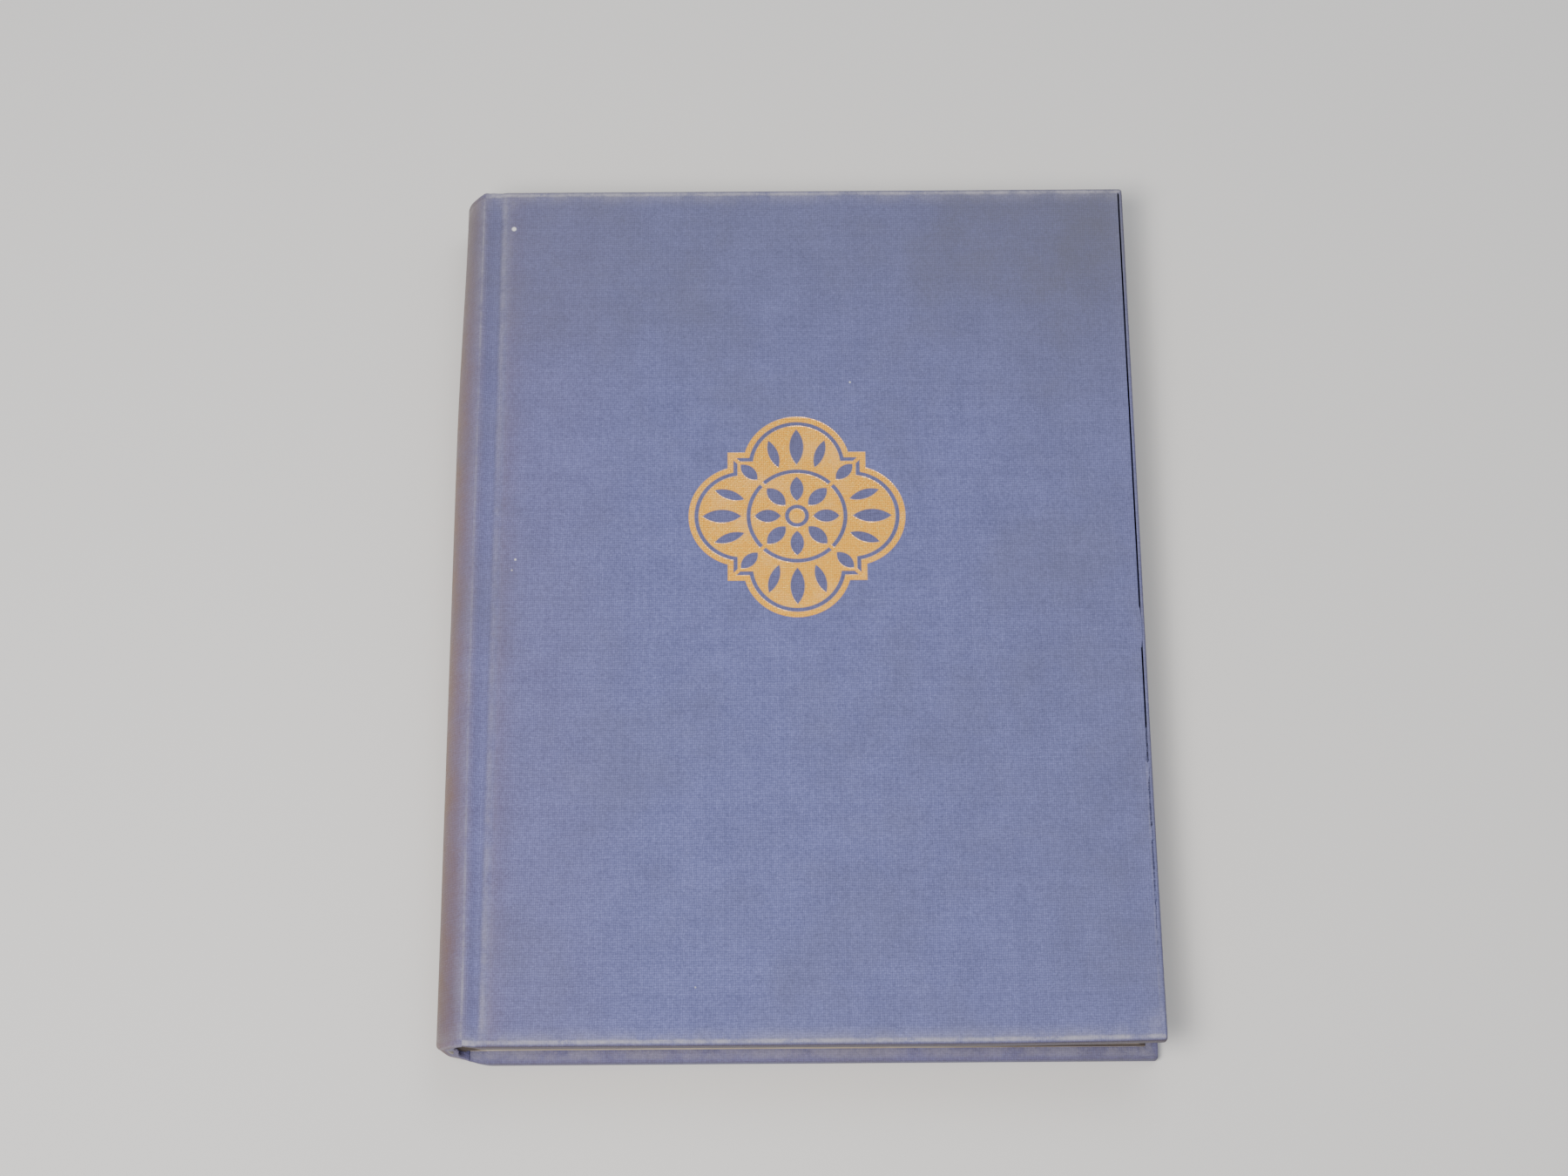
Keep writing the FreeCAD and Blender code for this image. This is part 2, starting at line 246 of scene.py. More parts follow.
def buildWeave():
    # a plain weave in mm: height of the thread on top, and a shade that changes from thread to thread
    values = {"PitchX": 0.6, "PitchY": 0.7, "Waver": 1.6}
    tree, start, end = shaderGroup("plainWeave", values, ("Height", "Shade"))
    vector = start["Vector"]
    drift = minus(cloud(vector, 0.30, 3.0, 0.6), 0.5)
    drift = times(drift, start["Waver"])
    parts = splitPlace(vector)
    u = plus(calc("DIVIDE", parts[0], start["PitchX"]), drift)
    v = plus(calc("DIVIDE", parts[1], start["PitchY"]), drift)
    heights = []
    shades = []
    for own, other, sign in ((u, v, 0.5), (v, u, -0.5)):
        number = calc("FLOOR", own)
        thread = calc("ABSOLUTE", calc("SINE", times(own, math.pi)))
        thread = calc("POWER", thread, 0.6)
        phase = plus(minus(other, 0.5), number)
        over = calc("COSINE", times(phase, math.pi))
        over = timesPlus(over, sign, 0.5)
        chance = addNode(tree, "ShaderNodeTexWhiteNoise", noise_dimensions="1D")
        feed(plus(number, sign * 37.0), chance.inputs["W"])
        bulge = timesPlus(chance.outputs["Value"], 0.35, 0.75)
        heights.append(times(times(thread, over), bulge))
        shades.append(chance.outputs["Value"])
    feed(larger(*heights), end["Height"])
    feed(times(plus(*shades), 0.5), end["Shade"])
    return tree


def buildRubAndHighlight():
    # broken pale marks along edges, from a value that is 1 on the edge: worn cloth, and also a painted
    # highlight over the rounding
    tree, start, end = shaderGroup("edgeRubAndHighlight", {"Edge": 0.0, "Spread": 0.5}, ("Mask",))
    coarse = cloud(start["Vector"], 0.14, 4.0, 0.6)
    fine = cloud(start["Vector"], 1.3, 3.0, 0.6)
    grain = timesPlus(fine, 0.55, times(coarse, 0.75))
    level = times(start["Edge"], start["Spread"])
    feed(rampTo(plus(grain, level), 1.0, 1.22), end["Mask"])
    return tree


def buildSoil():
    # soft blotches and fine speckle of dirt
    tree, start, end = shaderGroup("handSoil", {"Amount": 0.5}, ("Blotch", "Speckle"))
    blotch = rampTo(cloud(start["Vector"], 0.03, 5.0, 0.62), 0.42, 0.72)
    feed(times(blotch, start["Amount"]), end["Blotch"])
    speckle = rampTo(cloud(start["Vector"], 0.9, 4.0, 0.7), 0.6, 0.78)
    feed(times(speckle, start["Amount"]), end["Speckle"])
    return tree


weaveGroup = buildWeave()
rubAndHighlightGroup = buildRubAndHighlight()
soilGroup = buildSoil()


def startMaterial(name, roughness=0.8, **fixed):
    material = bpy.data.materials.new(name)
    material.use_nodes = True
    tree = material.node_tree
    shader = tree.nodes["Principled BSDF"]
    shader.inputs["Roughness"].default_value = roughness
    for label, value in fixed.items():
        shader.inputs[label.replace("_", " ")].default_value = value
    return material, tree, shader


def objectPlace(tree):
    # object coordinates in mm; every piece sits at the origin, so they are the book's own
    coordinates = addNode(tree, "ShaderNodeTexCoord")
    return scaled(coordinates.outputs["Object"], (1000, 1000, 1000))


def ownValue(tree, name, output="Fac"):
    return addNode(tree, "ShaderNodeAttribute", attribute_name=name).outputs[output]


def raiseBump(shader, height, distance, strength=1.0):
    inputs = {"Distance": distance * mm, "Strength": strength, "Height": height}
    bump = addNode(treeOf(height), "ShaderNodeBump", inputs)
    feed(bump.outputs["Normal"], shader.inputs["Normal"])


def finishLook(look, colour, height, distance, strength):
    material, _, shader = look
    feed(colour, shader.inputs["Base Color"])
    raiseBump(shader, height, distance, strength)
    return material


def soiled(colour, place, amount, kind, share, tone):
    dirt = placeGroup(soilGroup, place, Amount=amount)[kind]
    return mixColour(times(dirt, share), colour, tone)


def nearTo(vector, x, y, low, high):
    # 1 at a place on the cover, 0 outside the radius high
    inputs = {0: scaled(vector, (1, 1, 0)), 1: (x, y, 0)}
    node = addNode(treeOf(vector), "ShaderNodeVectorMath", inputs, operation="DISTANCE")
    return minus(1.0, rampTo(node.outputs["Value"], low, high))


clothLook = {
    "valley": (0.088, 0.097, 0.240, 1), "thread": (0.178, 0.191, 0.445, 1),
    "browned": (0.186, 0.096, 0.050, 1), "greyShadeAndDust": (0.116, 0.115, 0.142, 1),
    "rubbedAndHighlit": (0.450, 0.430, 0.485, 1), "shadeAndGrime": (0.058, 0.038, 0.040, 1),
    "lint": (0.62, 0.60, 0.62, 1), "white": (0.86, 0.85, 0.83, 1),
    "pitch": {"PitchX": 0.58, "PitchY": 0.66}, "shadedHeadCorner": (96.0, 127.0, 8.0, 95.0),
    "spots": ((-81.0, 114.75, 0.85, 1.0), (-78.1, 11.0, 0.4, 0.7), (16.1, 64.9, 0.35, 0.7)),
}


def makeClothLook():
    look = startMaterial("blueBookCloth", 0.82, Sheen_Weight=0.16, Sheen_Roughness=0.5)
    tree, shader = look[1:]
    sheet = ownValue(tree, "clothMm", "Vector")
    place = objectPlace(tree)
    weave = placeGroup(weaveGroup, sheet, **clothLook["pitch"])
    height = weave["Height"]
    soil = placeGroup(soilGroup, place, Amount=1.0)
    level = timesPlus(weave["Shade"], 0.04, times(height, 0.86))
    colour = mixColour(level, clothLook["valley"], clothLook["thread"])
    mottle = timesPlus(cloud(place, 0.08, 5.0, 0.66), 0.46, 0.77)
    grain = timesPlus(cloud(place, 1.25, 2.0, 0.7), 1.0, 0.5)
    colour = mixColour(1.0, colour, times(mottle, grain), "MULTIPLY")
    tone = ownValue(tree, "spineTone")
    patchy = timesPlus(cloud(place, 0.09, 4.0, 0.6), 0.7, 0.62)
    tone = calc("MINIMUM", times(tone, patchy), 1.0)
    colour = mixColour(times(tone, 0.96), colour, clothLook["browned"])
    # painted shade: the cloth is made greyer towards the head, the fore-edge and the head's fore corner,
    # where less light falls; the soil blotches and speckle mixed in are dirt
    corner = nearTo(place, *clothLook["shadedHeadCorner"])
    parts = splitPlace(place)
    margin = plus(rampTo(parts[1], 35, 125, 0.36), rampTo(parts[0], 20, 97, 0.16))
    greyShadeAndDust = plus(timesPlus(corner, 0.12, times(soil["Blotch"], 0.20)), margin)
    greyShadeAndDust = larger(greyShadeAndDust, times(soil["Speckle"], 0.22))
    colour = mixColour(greyShadeAndDust, colour, clothLook["greyShadeAndDust"])
    # pale marks on edges, the ridge, the board's edge and the rims of the stamping: worn cloth, and also a
    # painted highlight over these roundings
    wearAndHighlight = ownValue(tree, "edgeWearAndHighlight")
    rubAndHighlight = placeGroup(rubAndHighlightGroup, sheet, Edge=wearAndHighlight, Spread=0.50)
    streaks = rampTo(cloud(sheet, 0.11, 5.0, 0.75), 0.34, 0.60)
    fadedAndHighlit = times(timesPlus(streaks, 0.75, 0.25), wearAndHighlight)
    fadedAndHighlit = times(times(fadedAndHighlit, wearAndHighlight), timesPlus(grain, 0.8, 0.2))
    rubbedAndHighlit = larger(times(rubAndHighlight["Mask"], timesPlus(height, 0.6, 0.30)), fadedAndHighlit)
    colour = mixColour(rubbedAndHighlit, colour, clothLook["rubbedAndHighlit"])
    # dark brown: painted shade on the side faces of the edges and under the cap's lip, with some dirt, and a
    # darker tone on the spine towards the tail and on the stamped lines
    colour = mixColour(times(ownValue(tree, "shadeAndGrime"), 0.85), colour, clothLook["shadeAndGrime"])
    lint = addNode(tree, "ShaderNodeTexVoronoi", {"Vector": place, "Scale": 0.045}, feature="F1")
    colour = mixColour(rampTo(lint.outputs["Distance"], 0.016, 0.008, 0.6), colour, clothLook["lint"])
    for x, y, radius, strength in clothLook["spots"]:
        spot = times(nearTo(place, x, y, radius * 0.5, radius), strength)
        colour = mixColour(spot, colour, clothLook["white"])
    feed(timesPlus(height, -0.12, 0.88), shader.inputs["Roughness"])
    return finishLook(look, colour, height, 0.16, 0.75)


goldLook = {
    "leaf": (1.0, 0.470, 0.036, 1), "pale": (1.0, 0.580, 0.200, 1), "dull": (0.720, 0.260, 0.020, 1),
    "worn": (0.240, 0.200, 0.280, 1), "rim": (1.0, 0.720, 0.540, 1), "metal": 0.60,
    "paintedGlint": (1.0, 0.700, 0.160, 1),
}


def makeGoldLook():
    look = startMaterial("goldLeaf", 0.42)
    tree, shader = look[1:]
    sheet = ownValue(tree, "clothMm", "Vector")
    place = objectPlace(tree)
    weave = placeGroup(weaveGroup, sheet, Waver=0.8, **clothLook["pitch"])
    height = weave["Height"]
    colour = mixColour(rampTo(height, 0.0, 0.75), goldLook["dull"], goldLook["leaf"])
    # painted glints: a streaky fine noise turns the foil a paler gold in streaks, standing in for sparkle;
    # the same noise also feeds the bump
    brushed = cloud(scaled(sheet, (0.55, 2.4, 1.0)), 1.5, 3.0, 0.7)
    colour = mixColour(rampTo(brushed, 0.52, 0.66, 0.85), colour, goldLook["paintedGlint"])
    patches = rampTo(cloud(place, 0.10, 4.0, 0.6), 0.46, 0.72, 0.36)
    colour = mixColour(patches, colour, goldLook["pale"])
    # painted highlight, with some worn foil: the bevelled rims of the stamping turn pale pink
    colour = mixColour(times(ownValue(tree, "edgeWearAndHighlight"), 0.75), colour, goldLook["rim"])
    gone = timesPlus(cloud(place, 1.6, 4.0, 0.7), 0.6, times(height, -0.22))
    gone = plus(gone, times(cloud(place, 0.11, 3.0), 0.4))
    gone = rampTo(gone, 0.56, 0.66)
    colour = mixColour(times(gone, 0.85), colour, goldLook["worn"])
    feed(timesPlus(gone, -goldLook["metal"], goldLook["metal"]), shader.inputs["Metallic"])
    feed(timesPlus(patches, 0.22, 0.34), shader.inputs["Roughness"])
    return finishLook(look, colour, timesPlus(brushed, 0.5, height), 0.12, 0.7)


leavesLook = {
    "between": (0.43, 0.33, 0.22, 1), "leaf": (0.83, 0.75, 0.60, 1), "band": (0.60, 0.46, 0.30, 1),
    "soil": (0.55, 0.44, 0.32, 1), "gapShadow": (0.060, 0.044, 0.044, 1), "tail": (-123, -112),
    "along": (5, 82, 0.94), "lower": (4.8, 8.5, 0.8), "back": (-87.5, -83, 0.90),
}


def makeLeavesLook():
    # cut edges of the leaves: fine lines that follow each leaf round the shoulders
    look = startMaterial("leafEdges", 0.9)
    tree = look[1]
    place = objectPlace(tree)
    parts = splitPlace(place)
    inputs = {0: times(parts[0], 0.03), 1: times(parts[1], 0.03), 2: times(ownValue(tree, "leafLine"), 7.5)}
    along = addNode(tree, "ShaderNodeCombineXYZ", inputs).outputs[0]
    lines = cloud(along, 1.0, 2.0, 0.7)
    bands = cloud(scaled(along, (1.0, 1.0, 0.12)), 1.0, 2.0, 0.5)
    colour = mixColour(rampTo(lines, 0.36, 0.62), leavesLook["between"], leavesLook["leaf"])
    colour = mixColour(rampTo(bands, 0.5, 0.8, 0.35), colour, leavesLook["band"])
    colour = soiled(colour, place, 0.5, "Blotch", 1.0, leavesLook["soil"])
    # painted shadow on the tail edge of the leaves, in the gap under the front cover and in the hollow by the
    # back: stronger towards the fore-edge, low down, and by the back
    atTail = minus(1.0, rampTo(parts[1], *leavesLook["tail"]))
    gapShadowShare = rampTo(parts[0], *leavesLook["along"])
    gapShadowShare = times(gapShadowShare, minus(1.0, rampTo(parts[2], *leavesLook["lower"])))
    shadowByBack = minus(leavesLook["back"][2], rampTo(parts[0], *leavesLook["back"]))
    colour = mixColour(times(atTail, larger(gapShadowShare, shadowByBack)), colour, leavesLook["gapShadow"])
    return finishLook(look, colour, lines, 0.12, 0.8)


paperLook = {
    "dark": (0.74, 0.66, 0.52, 1), "light": (0.84, 0.78, 0.65, 1), "edge": (0.60, 0.43, 0.25, 1),
    "soil": (0.66, 0.53, 0.36, 1), "foxing": (0.50, 0.30, 0.14, 1),
}


def makePaperLook():
    # endpapers: laid tone, fibres and a little foxing, browner towards the edges
    look = startMaterial("endpaperSheet", 0.88)
    tree = look[1]
    place = objectPlace(tree)
    fibres = cloud(scaled(place, (1.0, 0.35, 1.0)), 2.2, 5.0, 0.7)
    colour = mixColour(rampTo(fibres, 0.3, 0.7), paperLook["dark"], paperLook["light"])
    patchy = times(ownValue(tree, "edgeTone"), timesPlus(cloud(place, 0.05, 4.0), 0.9, 0.25))
    colour = mixColour(times(patchy, 0.7), colour, paperLook["edge"])
    colour = soiled(colour, place, 0.6, "Blotch", 0.3, paperLook["soil"])
    colour = mixColour(rampTo(cloud(place, 0.35, 3.0, 0.55), 0.70, 0.78, 0.55), colour, paperLook["foxing"])
    return finishLook(look, colour, fibres, 0.05, 0.5)


def makePlainLook(name, roughness, pattern, edges, tones, soil, bump, tail=None, **fixed):
    # thread, mull and pressed pulp: two tones from a pattern, then dirt, darker towards the tail if asked
    look = startMaterial(name, roughness, **fixed)
    place = objectPlace(look[1])
    height = pattern(place)
    colour = mixColour(rampTo(height, *edges), *tones)
    colour = soiled(colour, place, *soil)
    if tail:
        share, tone = tail
        colour = mixColour(minus(share, rampTo(splitPlace(place)[1], -90, 0, share)), colour, tone)
    return finishLook(look, colour, height, *bump)


def strandPattern(place):
    return cloud(scaled(place, (9.0, 3.0, 9.0)), 1.0, 3.0, 0.6)


def openWeave(place):
    return placeGroup(weaveGroup, place, PitchX=0.9, PitchY=0.9, Waver=0.5)["Height"]


def makePulpLook(name, dark, light, scale):
    fleck = (0.7, "Speckle", 0.5, (0.12, 0.10, 0.08, 1))
    pulp = partial(cloud, scale=scale, detail=6.0, rough=0.72)
    return makePlainLook(name, 0.92, pulp, (0.3, 0.7), (dark, light), fleck, (0.12, 0.6))


clothMaterial = makeClothLook()
goldMaterial = makeGoldLook()
leavesMaterial = makeLeavesLook()
paperMaterial = makePaperLook()
threadMaterial = makePlainLook(
    "bandThread", 0.6, strandPattern, (0.3, 0.7), ((0.60, 0.54, 0.43, 1), (0.86, 0.81, 0.70, 1)),
    (0.8, "Speckle", 0.5, (0.38, 0.31, 0.22, 1)), (0.08, 0.7), (0.75, (0.080, 0.062, 0.060, 1)),
    Sheen_Weight=0.3,
)
mullMaterial = makePlainLook(
    "starchedMull", 0.85, openWeave, (0.15, 0.6), ((0.36, 0.28, 0.19, 1), (0.79, 0.74, 0.63, 1)),
    (0.6, "Blotch", 0.5, (0.52, 0.40, 0.25, 1)), (0.2, 0.8),
)
boardMaterial = makePulpLook("pressedGreyboard", (0.26, 0.24, 0.21, 1), (0.50, 0.47, 0.42, 1), 0.8)
kraftMaterial = makePulpLook("kraftLining", (0.36, 0.26, 0.16, 1), (0.56, 0.43, 0.28, 1), 1.1)
print("finishes ready")


def toFrame(x, y, z, side=1):
    return Vector(((ridgeX + x) * mm, y * mm, (midZ + side * z) * mm))


def addObject(name, data):
    thing = bpy.data.objects.new(name, data)
    bpy.context.scene.collection.objects.link(thing)
    return thing


def layerOf(bm, kind, name):
    layers = getattr(bm.verts.layers, kind)
    return layers.get(name) or layers.new(name)


def fillGrid(bm, rows, hole=()):
    # faces between neighbouring rows of verts, except at the places of a hole
    for i in range(len(rows) - 1):
        for j in range(len(rows[i]) - 1):
            if (i, j) not in hole:
                bm.faces.new([rows[i][j], rows[i + 1][j], rows[i + 1][j + 1], rows[i][j + 1]])


def joinLoops(bm, first, second):
    faces = []
    for index in range(len(first)):
        after = (index + 1) % len(first)
        faces.append(bm.faces.new([first[index], first[after], second[after], second[index]]))
    return faces


def rimOf(rows):
    far = [row[-1] for row in rows[-2::-1]]
    return [row[0] for row in rows] + rows[-1][1:] + far + rows[0][-2:0:-1]


def fillFlat(bm, loops):
    # faces of a flat outline, the first loop, with the other loops as its holes
    verts = [vert for loop in loops for vert in loop]
    corners = tessellate_polygon([[vert.co for vert in loop] for loop in loops])
    return [bm.faces.new([verts[index] for index in three]) for three in corners]


def closePlate(bm, sheets):
    # two grids of verts made into one closed plate
    for rows in sheets:
        fillGrid(bm, rows)
    joinLoops(bm, *[rimOf(rows) for rows in sheets])
    bmesh.ops.recalc_face_normals(bm, faces=bm.faces)


def thickenSheet(bm, thickness):
    # gives an open sheet its inner wall and a rim; the sheet's own faces stay outside
    bm.normal_update()
    layers = bm.verts.layers.float.values() + bm.verts.layers.float_vector.values()
    faces = list(bm.faces)
    rims = [edge for edge in bm.edges if len(edge.link_faces) == 1]
    inner = {}
    for vert in list(bm.verts):
        twin = bm.verts.new(vert.co - vert.normal * thickness)
        for layer in layers:
            twin[layer] = vert[layer]
        inner[vert] = twin
    for face in faces:
        bm.faces.new([inner[vert] for vert in reversed(face.verts)])
    for edge in rims:
        loop = edge.link_loops[0]
        first, second = loop.vert, loop.link_loop_next.vert
        bm.faces.new([second, first, inner[first], inner[second]])


def finishPiece(name, bm, material, sharpDegrees=40):
    bm.normal_update()
    limit = math.radians(sharpDegrees)
    for face in bm.faces:
        face.smooth = True
    for edge in bm.edges:
        edge.smooth = len(edge.link_faces) == 2 and edge.calc_face_angle(0) < limit
    mesh = bpy.data.meshes.new(name)
    bm.to_mesh(mesh)
    bm.free()
    mesh.materials.append(material)
    piece = addObject(name, mesh)
    return piece


# the case cloth: one sheet on the real book, two halves here that meet along the middle of the spine
caseShape = {
    "rise": caseRise, "crestX": 0.7, "crestZ": 11.38, "crestRadius": 1.8, "groove": 10.0,
    "capThickness": 1.44, "jointThickness": 0.78, "cloth": 0.38, "turnIn": 16.0,
    "edgeRadius": 0.90, "turnInRadius": 0.5, "cornerRadius": 1.0, "headShort": 0.7, "tailShort": 1.7,
    "lipLean": 2.7, "bend": (2.4, 5.3),
}
stamp = {
    "x": 90.9, "y": 23.7, "size": 61.0, "line": 1.1, "border": 1.7, "depth": 0.14, "foilLow": 0.37,
    "rim": 0.17, "room": 32.0, "sideShare": 0.32, "wreathShare": 0.232, "hubShare": 0.055,
}
windowX = (stamp["x"] - stamp["room"], stamp["x"] + stamp["room"])
windowY = (stamp["y"] - stamp["room"], stamp["y"] + stamp["room"])
# the motif's leaves in each quarter and its petals: turn in degrees, then start, end and width as shares
panelLeaves = (
    (0, 0.257, 0.435, 0.065), (45, 0.257, 0.365, 0.055),
    (-19, 0.257, 0.4, 0.045), (19, 0.257, 0.4, 0.045),
)
panelPetals = [(45 * index, 0.075, 0.195, 0.062) for index in range(8)]
jointDip = [  # outer x and z, inner x and z, a worn share that also paints a pale highlight on the ridge and the board's edge, tone: from the ridge over the joint on to the board
    (0.70, 11.38, 0.70, 10.60, 0.36, 0.27), (1.55, 11.19, 1.25, 10.40, 0.16, 0.20),
    (2.40, 10.86, 1.95, 10.04, 0.08, 0.14), (3.30, 10.55, 3.10, 9.66, 0.06, 0.11),
    (4.15, 10.40, 4.15, 9.42, 0.04, 0.10), (4.90, 10.52, 5.00, 9.08, 0.08, 0.10),
    (5.45, 10.94, 5.55, 8.74, 0.24, 0.12), (6.00, 11.42, 6.05, 8.46, 0.46, 0.15),
    (6.70, 11.68, 6.70, 8.33, 0.50, 0.16), (7.50, 11.73, 7.50, 8.29, 0.38, 0.15),
]


def dipPoints():
    # a smooth line through the joint's places, without the first, which is the ridge's own
    points = [jointDip[0]] + jointDip + [jointDip[-1]]
    line = []
    for a, b, c, d in zip(points, points[1:], points[2:], points[3:]):
        for t in (0.34, 0.67, 1.0):
            mix = []
            for p, q, r, s in zip(a, b, c, d):
                slope1, slope2 = (r - p) / 2, (s - q) / 2
                t2, t3 = t * t, t * t * t
                ends = q * (2 * t3 - 3 * t2 + 1) + slope1 * (t3 - 2 * t2 + t)
                mix.append(ends + r * (3 * t2 - 2 * t3) + slope2 * (t3 - t2))
            line.append(((mix[0], mix[1]), (mix[2], mix[3]), mix[4], mix[5]))
    outerX, _, innerX, _, wearAndHighlight, tone = jointDip[-1]
    line[-1] = ((outerX, coverTop), (innerX, turnInLevel), wearAndHighlight, tone)
    return line


def caseSection():
    shape = caseShape
    radius, centreX, crestAngle = backCurve(shape)
    cap, joint = shape["capThickness"], shape["jointThickness"]
    section = []

    def add(outer, inner, wearAndHighlight, tone):
        reach = 0.0
        if section:
            last = section[-1]
            reach = last["reach"] + math.dist(last["outer"], outer)
        head = shape["headShort"] * (1 - smooth(-3.4, 1.5, outer[0]))
        tail = shape["tailShort"] * (1 - smooth(-3.0, 7.4, outer[0]))
        tail += 0.8 * (1 - smooth(-6.5, -4.0, outer[0]))
        section.append({
            "outer": outer, "inner": inner, "reach": reach, "wearAndHighlight": wearAndHighlight, "tone": tone,
            "short": {1: head, -1: tail},
        })

    def browned(x):
        return 1.0 - 0.73 * (x + shape["rise"]) / (shape["rise"] + shape["crestX"])

    centre = (centreX, 0)
    for angle in [180, 179.6] + between(180, crestAngle, 22)[1:]:
        share = smooth(180, crestAngle, angle)
        outer = polar(centre, radius, angle)
        add(outer, polar(centre, radius - cap, angle), 0.12 + 0.26 * share ** 12, browned(outer[0]))
    centre = (shape["crestX"], shape["crestZ"] - shape["crestRadius"])
    for step, angle in enumerate(between(crestAngle, 90, 7)[1:], 1):
        inset = cap + (joint - cap) * step / 7
        outer = polar(centre, shape["crestRadius"], angle)
        # the ridge's rounding is marked worn, which also paints its pale highlight
        wearAndHighlight = 0.24 + 0.36 * math.sin(math.pi * step / 8)
        add(outer, polar(centre, shape["crestRadius"] - inset, angle), wearAndHighlight, browned(outer[0]))
    for outer, inner, wearAndHighlight, tone in dipPoints():
        add(outer, inner, wearAndHighlight, tone)
    flat = section[-1]["outer"][0]
    columns = [flat + 0.9, flat + 2.0, flat + 3.6, flat + 5.8]
    columns += runs(flat + 9, (windowX[0], 9), (windowX[1], 13), (coverFore - shape["cornerRadius"], 14))
    for x in columns:
        wearAndHighlight = 0.34 * (1 - smooth(flat, flat + 3.4, x)) + 0.2 * smooth(coverFore - 7, coverFore - 2, x)
        tone = 0.16 * (1 - smooth(flat, flat + 8, x)) + 0.10 * (1 - smooth(flat + 5, flat + 50, x))
        add((x, coverTop), (x, turnInLevel), wearAndHighlight, tone)
    return section


def coverReach(x):
    # the place on the flat cloth of a point on the cover's face
    first = next(column for column in section if column["outer"][0] > 7 and column["outer"][1] > 11.72)
    return first["reach"] + x - first["outer"][0]


def capProfile(thickness, lean):
    # the end of the spine: the turned cloth leans in over the band as a lip
    # place inwards, depth, a worn share that also paints a pale highlight, and a dark share of dirt and
    # painted shade under the lip
    deep = thickness + lean
    first = min(0.62, 0.3 * deep)
    profile = [(1.45, 0, 0.2, 0), (0.60, 0, 0.3, 0)]
    profile += [(0.30, first * 0.15, 0.5, 0), (0.08, first * 0.52, 0.6, 0)]
    profile += [(0.0, deep * share, 0.15, 0.1) for share in (first / deep, 0.45, 0.6, 0.75)]
    profile += [(0.02, deep * 0.88, 0.2, 0.1), (0.10, deep * 0.96, 0.3, 0.1), (0.28, deep, 0.3, 0.2)]
    profile += [(0.70, deep * 0.99, 0.1, 0.3), (0.96, deep - lean * 0.2, 0, 0.3)]
    profile += [(1.02, thickness + lean * 0.1, 0, 0.3)]
    return profile + [(reach, thickness, 0, 0.2) for reach in (1.3, 3.2, 5, 8, caseShape["turnIn"] - 0.1)]


def edgeProfile(thickness):
    # from 2 mm inside the edge, over it and back under the board: place inwards, depth, a worn share that
    # also paints a pale highlight over the rounding, and a dark share that paints shade, with some dirt, on
    # the board's side face
    top = min(caseShape["edgeRadius"], 0.42 * thickness)
    low = min(caseShape["turnInRadius"], 0.42 * thickness)
    profile = [(1.45, 0.0, 0.82, 0.0)]
    over = ((0, 0.84, 0.0), (22.5, 0.60, 0.12), (45, 0.30, 0.60), (67.5, 0.12, 0.95), (90, 0.05, 1.0))
    for angle, wearAndHighlight, shadeAndGrime in over:
        turn = math.radians(angle)
        profile.append((top * (1 - math.sin(turn)), top * (1 - math.cos(turn)), wearAndHighlight, shadeAndGrime))
    for share in (1 / 3, 2 / 3):
        profile.append((0.0, top + (thickness - top - low) * share, 0.08, 1.0))
    for angle, wearAndHighlight, shadeAndGrime in ((0, 0.1, 1.0), (30, 0.2, 0.9), (60, 0.3, 0.6), (90, 0.25, 0.3)):
        turn = math.radians(angle)
        profile.append((low * (1 - math.cos(turn)), thickness - low + low * math.sin(turn), wearAndHighlight, shadeAndGrime))
    places = ((1.2, 0.5), (2.0, 0.56), (3.2, 0.6), (5, 0.5), (8, 0.1), (12, 0))
    profile += [(reach, thickness, wearAndHighlight, 0.0) for reach, wearAndHighlight in places]
    profile.append((caseShape["turnIn"] - 0.1, thickness, 0.0, 0.0))
    return profile


section = caseSection()
rowPlaces = runs(2 - coverHalf, (windowY[0], 26), (windowY[1], 13), (coverHalf - 2, 15))


def turned(point, degrees):
    cosine, sine = math.cos(math.radians(degrees)), math.sin(math.radians(degrees))
    return point[0] * cosine - point[1] * sine, point[0] * sine + point[1] * cosine


def lobeArc(inset, steps):
    # the arc of the lobe on the right, and how far the straight sides lie from the middle
    lobe = stamp["size"] / 4
    side = stamp["size"] * stamp["sideShare"] - inset
    radius = lobe - inset
    half = math.degrees(math.acos((side - lobe) / radius))
    return arcOf((lobe, 0), radius, -half, half, steps), side


def panelOutline(inset):
    # four lobes and four corners, anticlockwise, about the middle of the panel
    arc, side = lobeArc(inset, 30)
    return [turned(point, turn) for turn in (0, 90, 180, 270) for point in arc + [(side, side)]]


def borderLine():
    # one quarter of the line inside the outline; bridges of gold part it at the corners
    paths = []
    for inset in (stamp["border"], stamp["border"] + stamp["line"]):
        arc, side = lobeArc(inset, 26)
        end = side - stamp["line"] / math.sqrt(2)
        paths.append([(side, -end)] + arc + [(side, end)])
    return paths[0] + paths[1][::-1]


def wreathLine():
    paths = []
    outer = stamp["size"] * stamp["wreathShare"]
    for radius in (outer, outer - stamp["line"]):
        gap = math.degrees(math.asin(stamp["line"] / 2 / radius))
        paths.append(arcOf((0, 0), radius, gap - 45, 45 - gap, 18))
    return paths[0] + paths[1][::-1]


